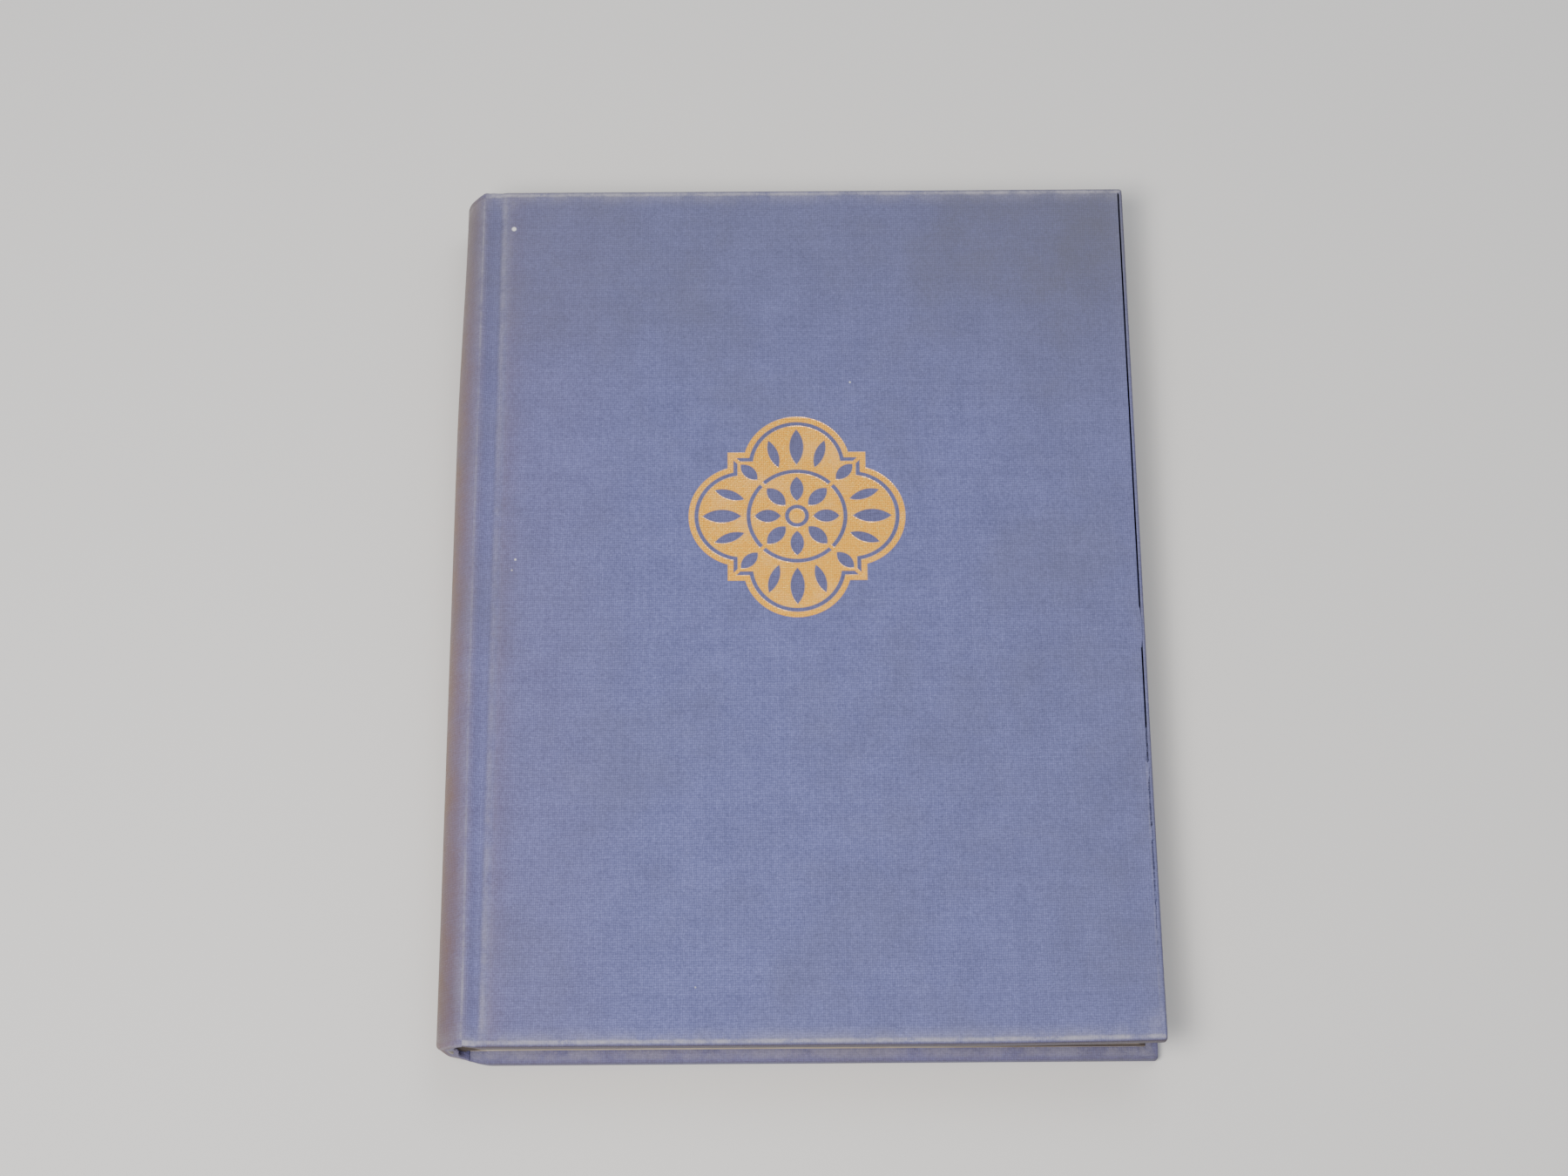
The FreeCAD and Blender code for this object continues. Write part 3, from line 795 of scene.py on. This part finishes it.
def leafShape(angle, start, end, width):
    # a pointed leaf on a ray from the middle
    length = stamp["size"] * (end - start)
    half = stamp["size"] * width / 2
    radius = (length * length / 4 + half * half) / (2 * half)
    reach = math.degrees(math.asin(length / 2 / radius))
    middle = stamp["size"] * (start + end) / 2
    right = arcOf((middle, radius - half), radius, 270 - reach, 270 + reach, 9)
    left = arcOf((middle, half - radius), radius, 90 - reach, 90 + reach, 9)
    return [turned(point, angle) for point in right + left[1:-1]]


def motifShapes():
    shapes = []
    for quarter in range(0, 360, 90):
        for line in (borderLine(), wreathLine()):
            shapes.append([turned(point, quarter) for point in line])
        shapes += [leafShape(quarter + turn, *place) for turn, *place in panelLeaves]
    return shapes + [leafShape(*petal) for petal in panelPetals]


def ringOf(radius):
    return [polar((0, 0), radius, 9 * step) for step in range(40)]


def movedLoop(points, distance):
    # a loop moved to its left by distance, with its sharp points held short
    moved = []
    for index, point in enumerate(points):
        before, after = Vector(points[index - 1]), Vector(points[(index + 1) % len(points)])
        here = Vector(point)
        one, two = (here - before).normalized(), (after - here).normalized()
        normal = Vector((-one.y - two.y, one.x + two.x))
        if normal.length < 1e-6:
            normal = Vector((-one.y, one.x))
        normal.normalize()
        stretch = min(1.6, 1 / max(0.3, normal.dot(Vector((-one.y, one.x)))))
        moved.append(tuple(here + normal * distance * stretch))
    return moved


# what each vert of the cloth carries: its place on the flat sheet, a worn share that also paints pale
# highlights on roundings, browning, and a dark share of dirt and painted shade
clothLayers = (("float_vector", "clothMm"), ("float", "edgeWearAndHighlight"), ("float", "spineTone"), ("float", "shadeAndGrime"))


def clothVertsIn(bm):
    layers = [layerOf(bm, kind, name) for kind, name in clothLayers]

    def addVert(place, reach, along, wearAndHighlight, tone, shadeAndGrime):
        vert = bm.verts.new(place)
        for layer, value in zip(layers, ((reach, along, 0), wearAndHighlight, tone, shadeAndGrime)):
            vert[layer] = value
        return vert

    return addVert


def placesIn(window, values):
    return [i for i, value in enumerate(values) if window[0] - 0.01 < value < window[1] + 0.01]


# how strong each trace of use is, as shares of the full worn mark, which on edges also paints a highlight, or
# of the full dark mark of dirt and painted shade
traces = {
    "ends": 0.46, "scuff": 0.5, "backGrime": 0.24, "most": 1.3,
    "edge": {"end": 1.0, "corner": 1.12, "fore": 0.45},
}


def makeCaseHalf(name, side, body, nodes):
    bm = bmesh.new()
    addClothVert = clothVertsIn(bm)
    stamped = side > 0

    def addVert(x, y, z, reach, along, wearAndHighlight, tone, shadeAndGrime=0.0, depth=0.0):
        lift = coverLift(x, y) if stamped else 0.0
        lift += jointFill(x, y) * (1 - depth)
        place = toFrame(x + spineDraw(x, y), y, z + lift, side)
        return addClothVert(place, reach, along, wearAndHighlight, tone, shadeAndGrime)

    def endOf(column, end):
        # the tail of the spine is pressed in more below than above
        share = 1 - 0.7 * smooth(0, 6, column["outer"][1]) if stamped and end < 0 else 1
        return coverHalf - column["short"][end] * share

    grid = []
    for column in section:
        x, z = column["outer"]
        dirty = 1 - smooth(-3.0, 0.9, x)
        line = []
        for row in rowPlaces:
            y = row * (endOf(column, 1 if row > 0 else -1) - 2) / (coverHalf - 2)
            ends = traces["ends"] * smooth(coverHalf - 6, coverHalf - 2, abs(row))
            away = math.dist((x, row), (coverFore, -coverHalf))
            scuff = traces["scuff"] * (1 - smooth(3, 15, away)) if stamped else 0.0
            wearAndHighlight = max(column["wearAndHighlight"] * (0.72 + 0.4 * (row / coverHalf) ** 2), ends, scuff)
            shadeAndGrime = traces["backGrime"] * dirty * smooth(20, 115, -row)
            line.append(addVert(x, y, z, column["reach"], y, wearAndHighlight, column["tone"], shadeAndGrime))
        grid.append(line)
    inX = placesIn(windowX, [column["outer"][0] for column in section])
    inY = placesIn(windowY, rowPlaces)
    fillGrid(bm, grid, {(i, j) for i in inX[:-1] for j in inY[:-1]} if stamped else ())
    if stamped:
        square = rimOf([[grid[i][j] for j in inY] for i in inX])
        loops = []
        for inset, depth in ((-0.25, 0.0), (0.0, 0.07)):
            loop = []
            for px, py in panelOutline(inset):
                x, y = stamp["x"] + px, stamp["y"] + py
                loop.append(addVert(x, y, coverTop - depth, coverReach(x), y, 0.2 if depth else 0.0, 0.0))
            loops.append(loop)
        fillFlat(bm, [square, loops[0]])
        joinLoops(bm, *loops)

    # the turned edge: stations along the tail, round the corner, up the fore-edge and back along the head
    stations = [("end", -1, i, grid[i][0]) for i in range(len(section))]
    stations += [("corner", -1, angle, grid[-1][0]) for angle in (67.5, 45, 22.5)]
    stations += [("fore", 0, j, grid[-1][j]) for j in range(len(rowPlaces))]
    stations += [("corner", 1, angle, grid[-1][-1]) for angle in (22.5, 45, 67.5)]
    stations += [("end", 1, i, grid[i][-1]) for i in range(len(section) - 1, -1, -1)]
    radius = caseShape["cornerRadius"]
    rings = []
    for kind, end, which, base in stations:
        column = section[which] if kind == "end" else section[-1]
        outer, inner = Vector(column["outer"]), Vector(column["inner"])
        thickness = (inner - outer).length
        path = [base]
        travelled, last = 0.0, (radius, 0.0)
        capped = kind == "end" and outer.x < caseShape["crestX"] - 0.01
        lean = caseShape["lipLean"] * (1 - smooth(5.0, 10.4, outer.y)) if capped else 0.0
        profile = capProfile(thickness, lean) if capped else edgeProfile(thickness)
        for inwards, depth, wearAndHighlight, shadeAndGrime in profile:
            travelled += math.dist(last, (inwards, depth))
            last = (inwards, depth)
            x, z = outer + (inner - outer) * (depth / thickness)
            if kind == "end":
                x = min(x, coverFore - inwards) if inwards > radius else x
                y = end * (endOf(column, end) - inwards)
                reach, along = column["reach"], end * (endOf(column, end) - radius + travelled)
            elif kind == "fore":
                x = coverFore - inwards
                limit = coverHalf - max(inwards, radius)
                y = min(max(rowPlaces[which], -limit), limit)
                reach, along = column["reach"] + travelled, rowPlaces[which]
            else:
                swing = math.radians(which)
                out = max(radius - inwards, 0)
                x = coverFore - max(inwards, radius) + out * math.cos(swing)
                y = end * (coverHalf - max(inwards, radius) + out * math.sin(swing))
                reach = column["reach"] + travelled * math.cos(swing)
                along = end * (coverHalf - radius + travelled * math.sin(swing))
            tone = column["tone"] if depth < thickness * 0.9 else max(0.17, column["tone"] * 0.4)
            shadeAndGrime *= (1.0 if end < 0 else 0.55) * (1.0 if stamped else 0.5)
            wearAndHighlight = min(traces["most"], wearAndHighlight * traces["edge"][kind])
            path.append(addVert(x, y, z, reach, along, wearAndHighlight, tone, shadeAndGrime, min(1, depth / thickness)))
        rings.append(path)
    for first, second in zip(rings, rings[1:]):
        for k in range(len(first) - 1):
            corners = list(dict.fromkeys((first[k], first[k + 1], second[k + 1], second[k])))
            if len(corners) > 2:
                bm.faces.new(corners)
    bmesh.ops.remove_doubles(bm, verts=bm.verts, dist=2e-6)
    bmesh.ops.recalc_face_normals(bm, faces=bm.faces)
    bm.normal_update()
    bm.faces.ensure_lookup_table()
    highest = max(bm.faces, key=lambda face: side * face.calc_center_median().z * (abs(face.normal.z) > 0.9))
    if side * highest.normal.z < 0:
        bmesh.ops.reverse_faces(bm, faces=bm.faces)
    thickenSheet(bm, caseShape["cloth"] * mm)
    piece = finishPiece(name, bm, clothMaterial)
    start, end = (toFrame(x, 0, caseShape["groove"], side) for x in caseShape["bend"])
    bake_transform(piece, "text_block", body, start, end)
    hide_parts(*nodes)


makeCaseHalf("front_case_cloth", 1, "front_cover", ("front_cloth", "spine_cloth"))
makeCaseHalf("back_case_cloth", -1, "back_cover", ("back_cloth", "spine_cloth"))
print("case cloth turned in")


def inlayPlate(bm, loops, margin, topDepth, rimDepth, lowDepth, shade=0.0):
    # a plate between an outer loop and its holes, with a sloping rim of its own along every edge
    addVert = clothVertsIn(bm)
    rows = {"top": [], "rim": [], "low": []}
    for number, loop in enumerate(loops):
        inside = movedLoop(loop, margin if number == 0 else -margin)
        levels = (("top", inside, topDepth), ("rim", loop, rimDepth), ("low", loop, lowDepth))
        for key, points, depth in levels:
            # the sloping rims are marked fully worn, which paints a pale highlight along them
            wearAndHighlight = 1.0 if key == "rim" else 0.0
            shadeAndGrime = shade if key == "top" else 0.0
            verts = []
            for px, py in points:
                x, y = stamp["x"] + px, stamp["y"] + py
                verts.append(addVert(toFrame(x, y, coverTop - depth), coverReach(x), y, wearAndHighlight, 0.0, shadeAndGrime))
            rows[key].append(verts)
    faces = fillFlat(bm, rows["top"]) + fillFlat(bm, rows["low"])
    for upper, lower in (("top", "rim"), ("rim", "low")):
        for first, second in zip(rows[upper], rows[lower]):
            faces += joinLoops(bm, first, second)
    bmesh.ops.recalc_face_normals(bm, faces=faces)


def makeStamping():
    motif = motifShapes()
    hubRadius = stamp["size"] * stamp["hubShare"]
    hub = [ringOf(hubRadius), ringOf(hubRadius - stamp["line"])]
    rim, depth, low = stamp["rim"], stamp["depth"], stamp["foilLow"]
    gold = bmesh.new()
    inlayPlate(gold, [panelOutline(0)] + motif + [hub[0]], rim, depth, 0.03, low)
    inlayPlate(gold, [hub[1]], rim, depth, 0.06, low)
    leaf = finishPiece("gold_panel", gold, goldMaterial, 20)
    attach(leaf, "front_cover")
    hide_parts("gold_stamping")
    bare = bmesh.new()
    for loops in [[shape] for shape in motif] + [hub]:
        inlayPlate(bare, loops, 0.13, 0.0, 0.09, low - 0.01, 0.32)
    lines = finishPiece("bare_cloth_lines", bare, clothMaterial, 20)
    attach(lines, "front_cover")


makeStamping()
print("panel stamped")

boardShape = {"left": 6.15, "inset": 0.42, "corner": 0.2, "low": 8.71, "high": 11.31}


def makeBoard(name, side, body, node):
    # the board under the cloth, the front one bent up with it at the tail corner
    inset = boardShape["inset"]
    xs = runs(boardShape["left"], (120, 6), (coverFore - 2, 14), (coverFore - inset, 1))
    ys = runs(inset - coverHalf, (2 - coverHalf, 1), (-40, 12), (coverHalf - 2, 6), (coverHalf - inset, 1))
    bm = bmesh.new()

    def vertAt(x, y, z):
        cut = boardShape["corner"] if x == xs[-1] and y in (ys[0], ys[-1]) else 0.0
        px, py = x - cut, y - math.copysign(cut, y)
        lift = coverLift(px, py) if side > 0 else 0.0
        return bm.verts.new(toFrame(px, py, z + lift, side))

    levels = (boardShape["low"], boardShape["high"])
    closePlate(bm, [[[vertAt(x, y, z) for y in ys] for x in xs] for z in levels])
    board = finishPiece(name, bm, boardMaterial)
    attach(board, body)
    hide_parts(node)


makeBoard("front_warped_board", 1, "front_cover", "front_board")
makeBoard("back_flat_board", -1, "back_cover", "back_board")

spineCard = {"under": 0.40, "thickness": 0.6, "margin": 2.4, "half": 120.0}


def makeSpineCard():
    # the card strip glued inside the spine of the case
    radius, centreX = backCurve(caseShape)[:2]
    outer = radius - spineCard["under"]
    reach = math.degrees(math.asin((caseShape["crestZ"] - spineCard["margin"]) / radius))
    angles = between(180 - reach, 180 + reach, 24)
    ys = between(-spineCard["half"], spineCard["half"], 24)
    bm = bmesh.new()

    def vertAt(depth, angle, y):
        x, z = polar((centreX, 0), depth, angle)
        return bm.verts.new(toFrame(x + spineDraw(x, y), y, z))

    depths = (outer, outer - spineCard["thickness"])
    closePlate(bm, [[[vertAt(depth, angle, y) for y in ys] for angle in angles] for depth in depths])
    card = finishPiece("spine_card", bm, boardMaterial)
    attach(card, "text_block")
    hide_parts("spine_inlay")


makeSpineCard()
print("boards and spine card cut")

endpaper = {
    "thickness": 0.13, "fold": 1.72, "level": 8.195, "dish": 0.14, "slope": 1.5, "wing": 30.0,
    "jointEnd": 5.0, "bend": (1.75, 5.0), "blockLevel": 7.925, "ghost": 0.10, "ripple": 0.02,
    "browning": 22.0,
}


def makeSheet(name, path, rows, lift, side):
    # a paper sheet along a section path; lift gives the rise at each place
    bm = bmesh.new()
    toneLayer = layerOf(bm, "float", "edgeTone")
    grid = []
    for x, z in path:
        line = []
        for y in rows:
            vert = bm.verts.new(toFrame(x, y, z + lift(x, y), side))
            edge = min(pageHalf - abs(y), pageFore - x)
            vert[toneLayer] = 1 - smooth(0, endpaper["browning"], edge) * 0.9
            line.append(vert)
        grid.append(line)
    fillGrid(bm, grid)
    bmesh.ops.recalc_face_normals(bm, faces=bm.faces)
    bm.normal_update()
    if sum(face.normal.z * face.calc_area() for face in bm.faces) < 0:
        bmesh.ops.reverse_faces(bm, faces=bm.faces)
    thickenSheet(bm, endpaper["thickness"] * mm)
    return finishPiece(name, bm, paperMaterial)


def makeEndpapers(side, word):
    # the pasted leaf dips into the window between the turn-ins and shows the edge of the mull's wing
    slope, joint, half = endpaper["slope"], endpaper["jointEnd"], endpaper["thickness"] / 2
    windowFore = coverFore - caseShape["turnIn"]
    windowHalf = coverHalf - caseShape["turnIn"]

    def pasteLift(x, y):
        inside = hump(joint, joint + slope, windowFore - slope, windowFore, x)
        inside *= 1 - smooth(windowHalf - slope, windowHalf, abs(y))
        ghost = endpaper["ghost"] * smooth(endpaper["wing"], endpaper["wing"] + 1.2, x)
        ripple = endpaper["ripple"] * noise.noise(Vector((x * 0.05, y * 0.05, 3.0 * side)))
        own = coverLift(x, y) if side > 0 else 0.0
        return inside * (endpaper["dish"] + ghost + ripple) + own

    xs = between(endpaper["fold"], joint, 14) + [5.5, 6.0, 6.6, 8, 12, 20, 29, 29.6, 30.2, 30.8, 31.6]
    xs += between(36, 120, 10) + runs(126, (windowFore - slope, 8), (windowFore, 4))
    xs += between(windowFore + 2, pageFore - 0.02, 5)
    ys = runs(0.02 - pageHalf, (-windowHalf, 5), (slope - windowHalf, 4), (windowHalf - slope, 40))
    ys += runs(windowHalf - slope, (windowHalf, 4), (pageHalf - 0.02, 5))[1:]
    level = endpaper["level"]
    paste = makeSheet(word + "_pasted_leaf", [(x, level + half) for x in xs], ys, pasteLift, side)
    start, end = (toFrame(x, 0, level, side) for x in endpaper["bend"])
    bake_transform(paste, "text_block", word + "_cover", start, end)
    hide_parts(word + "_pastedown")
    free = endpaper["blockLevel"] + endpaper["thickness"]
    path = [(endpaper["fold"], 8.10), (1.74, free + 0.02), (1.86, free)]
    path += [(x, free) for x in between(4, pageFore - 0.05, 24)]
    ys = between(0.04 - pageHalf, pageHalf - 0.04, 28)
    leaf = makeSheet(word + "_free_leaf", path, ys, lambda x, y: 0.0, side)
    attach(leaf, "text_block")
    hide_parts(word + "_flyleaf")


makeEndpapers(1, "front")
makeEndpapers(-1, "back")
print("endpapers laid")

blockShape = {
    "rise": 3.9, "crestX": 0.2, "crestZ": 10.43, "crestRadius": 0.9, "sideRadius": 0.4, "footRadius": 0.8,
    "half": 7.9, "hollow": 3.6, "sections": 54, "jitter": 0.07, "seed": 7,
}


def makeLeaves():
    shape = blockShape
    radius, centreX, crestAngle = backCurve(shape)
    half, hollow = shape["half"], shape["hollow"]
    foreRadius = (half * half + hollow * hollow) / (2 * hollow)
    foot = shape["crestX"] + shape["sideRadius"] + shape["footRadius"]
    crestX, top = shape["crestX"], shape["crestZ"]
    low, side, crest = shape["footRadius"], shape["sideRadius"], shape["crestRadius"]
    cap = arcOf((foot, half + low), low, 270, 180, 5) + arcOf((crestX, top - side), side, 0, 90, 4)
    cap += arcOf((crestX, top - crest), crest, 90, crestAngle, 4)[1:]
    random.seed(shape["seed"])
    bm = bmesh.new()
    lineLayer = layerOf(bm, "float", "leafLine")
    groups = shape["sections"]
    levels = []
    for group in range(groups):
        wobble = (random.uniform(-1, 1) * shape["jitter"], random.uniform(-1, 1) * shape["jitter"])
        if group in (0, groups - 1):
            wobble = (0.0, 0.0)
        for step in (0, 1):
            levels.append((-1 + 2 * (group + step) / groups, wobble))
    sheets = []
    for share, (acrossJitter, alongJitter) in levels:
        z = half * share
        fore = pageFore - hollow + foreRadius - math.sqrt(foreRadius ** 2 - z * z) - max(0, acrossJitter)
        path = [(x, z) for x in [fore, 150, 100, 50, 20, 8, 4, 2.4]]
        keep = abs(share) ** 6
        endZ = share * cap[-1][1]
        endX = centreX - math.sqrt(radius ** 2 - endZ ** 2)
        for index, (capX, capZ) in enumerate(cap):
            travel = index / (len(cap) - 1)
            x = (foot + (endX - foot) * travel) * (1 - keep) + capX * keep
            path.append((x, share * (half + (capZ - half) * (travel * (1 - keep) + keep))))
        path[-1] = (endX, endZ)
        y = pageHalf - abs(alongJitter)
        rows = []
        for end in (-y, y):
            row = []
            for x, pointZ in path:
                vert = bm.verts.new(toFrame(x, end, pointZ))
                vert[lineLayer] = z
                row.append(vert)
            rows.append(row)
        sheets.append(rows)
    count = len(sheets[0][0])
    for lower, upper in zip(sheets, sheets[1:]):
        for end in (0, 1):
            fillGrid(bm, [lower[end], upper[end]])
        for k in (0, count - 1):
            bm.faces.new([lower[0][k], lower[1][k], upper[1][k], upper[0][k]])
    for rows in (sheets[0], sheets[-1]):
        fillGrid(bm, rows)
    bmesh.ops.recalc_face_normals(bm, faces=bm.faces)
    leaves = finishPiece("sewn_leaves", bm, leavesMaterial, 20)
    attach(leaves, "text_block")
    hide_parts("text_block")


makeLeaves()
print("leaves stacked")

band = {
    "bead": 0.62, "thread": 0.16, "pitch": 0.30, "margin": 3.5, "sink": 0.5, "clear": 0.05, "steps": 40,
    "tape": 0.3, "gap": 0.02, "over": 0.8, "reach": 12.0,
}


def buildBandTree():
    # thread wound round a core that follows the back of the leaves
    tree = bpy.data.node_groups.new("woundBand", "GeometryNodeTree")
    for way in ("INPUT", "OUTPUT"):
        tree.interface.new_socket(name="Geometry", in_out=way, socket_type="NodeSocketGeometry")
    for label, key in (("Bead Radius", "bead"), ("Thread Radius", "thread"), ("Pitch", "pitch")):
        socket = tree.interface.new_socket(name=label, in_out="INPUT", socket_type="NodeSocketFloat")
        socket.default_value = band[key] * mm
    start = tree.nodes.new("NodeGroupInput").outputs
    end = tree.nodes.new("NodeGroupOutput").inputs

    def place(kind, inputs, **settings):
        return addNode(tree, "GeometryNode" + kind, inputs, **settings).outputs

    def circle(radius, sides):
        return place("CurvePrimitiveCircle", {"Resolution": sides, "Radius": radius})[0]

    line = place("MeshToCurve", {0: start["Geometry"]})[0]
    round1 = circle(start["Bead Radius"], 14)
    core = place("CurveToMesh", {"Curve": line, "Profile Curve": round1, "Fill Caps": True})[0]
    points = place("CurveToPoints", {"Curve": line, "Length": start["Pitch"]}, mode="LENGTH")
    round2, thread = circle(start["Bead Radius"], 14), circle(start["Thread Radius"], 6)
    ring = place("CurveToMesh", {"Curve": round2, "Profile Curve": thread})[0]
    lean = addNode(tree, "FunctionNodeRandomValue", {2: 0.94, 3: 1.06, "Seed": 5}, data_type="FLOAT")
    turns = {key: points[key] for key in ("Points", "Rotation")}
    wound = place("InstanceOnPoints", {**turns, "Instance": ring, "Scale": lean.outputs[1]})[0]
    joined = addNode(tree, "GeometryNodeJoinGeometry")
    for source in (core, wound):
        feed(source, joined.inputs[0])
    real = place("RealizeInstances", {0: joined.outputs[0]})[0]
    softened = place("SetShadeSmooth", {0: real})[0]
    feed(place("SetMaterial", {0: softened, "Material": threadMaterial})[0], end[0])
    return tree


bandTree = buildBandTree()


def makeBand(name, end, node):
    radius, centreX = backCurve(blockShape)[:2]
    reach = math.degrees(math.asin((blockShape["crestZ"] - band["margin"]) / radius))
    y = end * (pageHalf + band["clear"] + band["bead"] + band["thread"])
    places = arcOf((centreX, 0), radius - band["sink"], 180 - reach, 180 + reach, band["steps"])
    mesh = bpy.data.meshes.new(name + "Line")
    mesh.from_pydata([toFrame(x, y, z) for x, z in places], [(i, i + 1) for i in range(band["steps"])], [])
    path = addObject(name + "Line", mesh)
    modifier = path.modifiers.new("wound", "NODES")
    modifier.node_group = bandTree
    bpy.context.view_layer.update()
    wound = bpy.data.meshes.new_from_object(path.evaluated_get(bpy.context.evaluated_depsgraph_get()))
    bpy.data.objects.remove(path)
    bm = bmesh.new()
    bm.from_mesh(wound)
    ends = [end * (pageHalf + band["over"]), end * (pageHalf - band["reach"])]
    rows = []
    for depth in (band["gap"], band["gap"] + band["tape"]):
        for place in ends:
            line = arcOf((centreX, 0), radius + depth, 180 - reach, 180 + reach, 24)
            rows.append([bm.verts.new(toFrame(x, place, z)) for x, z in line])
    faces = []
    order = [rows[0], rows[1], rows[3], rows[2]]
    for first, second in zip(order, order[1:] + order[:1]):
        for i in range(len(first) - 1):
            faces.append(bm.faces.new([first[i], first[i + 1], second[i + 1], second[i]]))
    for i in (0, -1):
        faces.append(bm.faces.new([row[i] for row in order]))
    bmesh.ops.recalc_face_normals(bm, faces=faces)
    piece = finishPiece(name, bm, threadMaterial, 60)
    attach(piece, "text_block")
    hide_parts(node)


makeBand("head_wound_band", 1, "head_band")
makeBand("tail_wound_band", -1, "tail_band")
print("bands wound")

# pieces that are shown as the solids have them, in their own finish
looks = {
    "mull": mullMaterial, "front_mull_wing": mullMaterial, "back_mull_wing": mullMaterial,
    "spine_lining": kraftMaterial,
}
for node, material in looks.items():
    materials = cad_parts[node].data.materials
    materials.clear()
    materials.append(material)

# floor, light and camera
studio = {
    "floor": (0.80, 0.79, 0.77, 1), "floorShade": (0.7, 0.69, 0.67, 1),
    "world": (0.93, 0.95, 1.0, 1), "worldStrength": 0.46,
}
# name, place in metres, size, power and colour; each lamp aims at the book
lamps = (
    ("keyLight", (-0.27, -0.32, 0.85), 0.34, 7.9, (1.0, 0.96, 0.92)),
    ("fillLight", (0.25, 0.55, 1.15), 0.7, 3.8, (0.93, 0.96, 1.0)),
)


def makeStudio():
    mesh = bpy.data.meshes.new("paleFloor")
    mesh.from_pydata([(-3, -3, 0), (3, -3, 0), (3, 3, 0), (-3, 3, 0)], [], [(0, 1, 2, 3)])
    floor = addObject("paleFloor", mesh)
    material, tree, shader = startMaterial("paleFloorPaint", 0.8)
    tone = times(cloud(objectPlace(tree), 0.01, 2.0), 0.1)
    feed(mixColour(tone, studio["floor"], studio["floorShade"]), shader.inputs["Base Color"])
    mesh.materials.append(material)
    floor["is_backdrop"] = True
    world = bpy.data.worlds.new("studioWorld")
    world.use_nodes = True
    background = world.node_tree.nodes["Background"]
    background.inputs["Color"].default_value = studio["world"]
    background.inputs["Strength"].default_value = studio["worldStrength"]
    bpy.context.scene.world = world
    for name, place, size, power, colour in lamps:
        lamp = bpy.data.lights.new(name, "AREA")
        lamp.size = size
        lamp.energy = power
        lamp.color = colour
        aim = -Vector(place)
        turn = aim.to_track_quat("-Z", "Y").to_matrix().to_4x4()
        addObject(name, lamp).matrix_world = Matrix.Translation(place) @ turn


camera = {"lens": 70.385, "sensor": 36.0, "tilt": 21.28, "roll": -0.41, "place": (-0.00537, -0.30755, 0.8181)}


def makeCamera():
    lens = bpy.data.cameras.new("tableCamera")
    lens.lens = camera["lens"]
    lens.sensor_width = camera["sensor"]
    lens.clip_start = 0.01
    holder = addObject("tableCamera", lens)
    roll = Matrix.Rotation(math.radians(camera["roll"]), 4, "Z")
    tilt = Matrix.Rotation(math.radians(camera["tilt"]), 4, "X")
    holder.matrix_world = Matrix.Translation(camera["place"]) @ roll @ tilt
    bpy.context.scene.camera = holder


makeStudio()
makeCamera()
boxes = {"cad": cadBox, "visual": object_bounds()}
{key: [list(corner) for corner in box] for key, box in boxes.items()}
print("studio set")
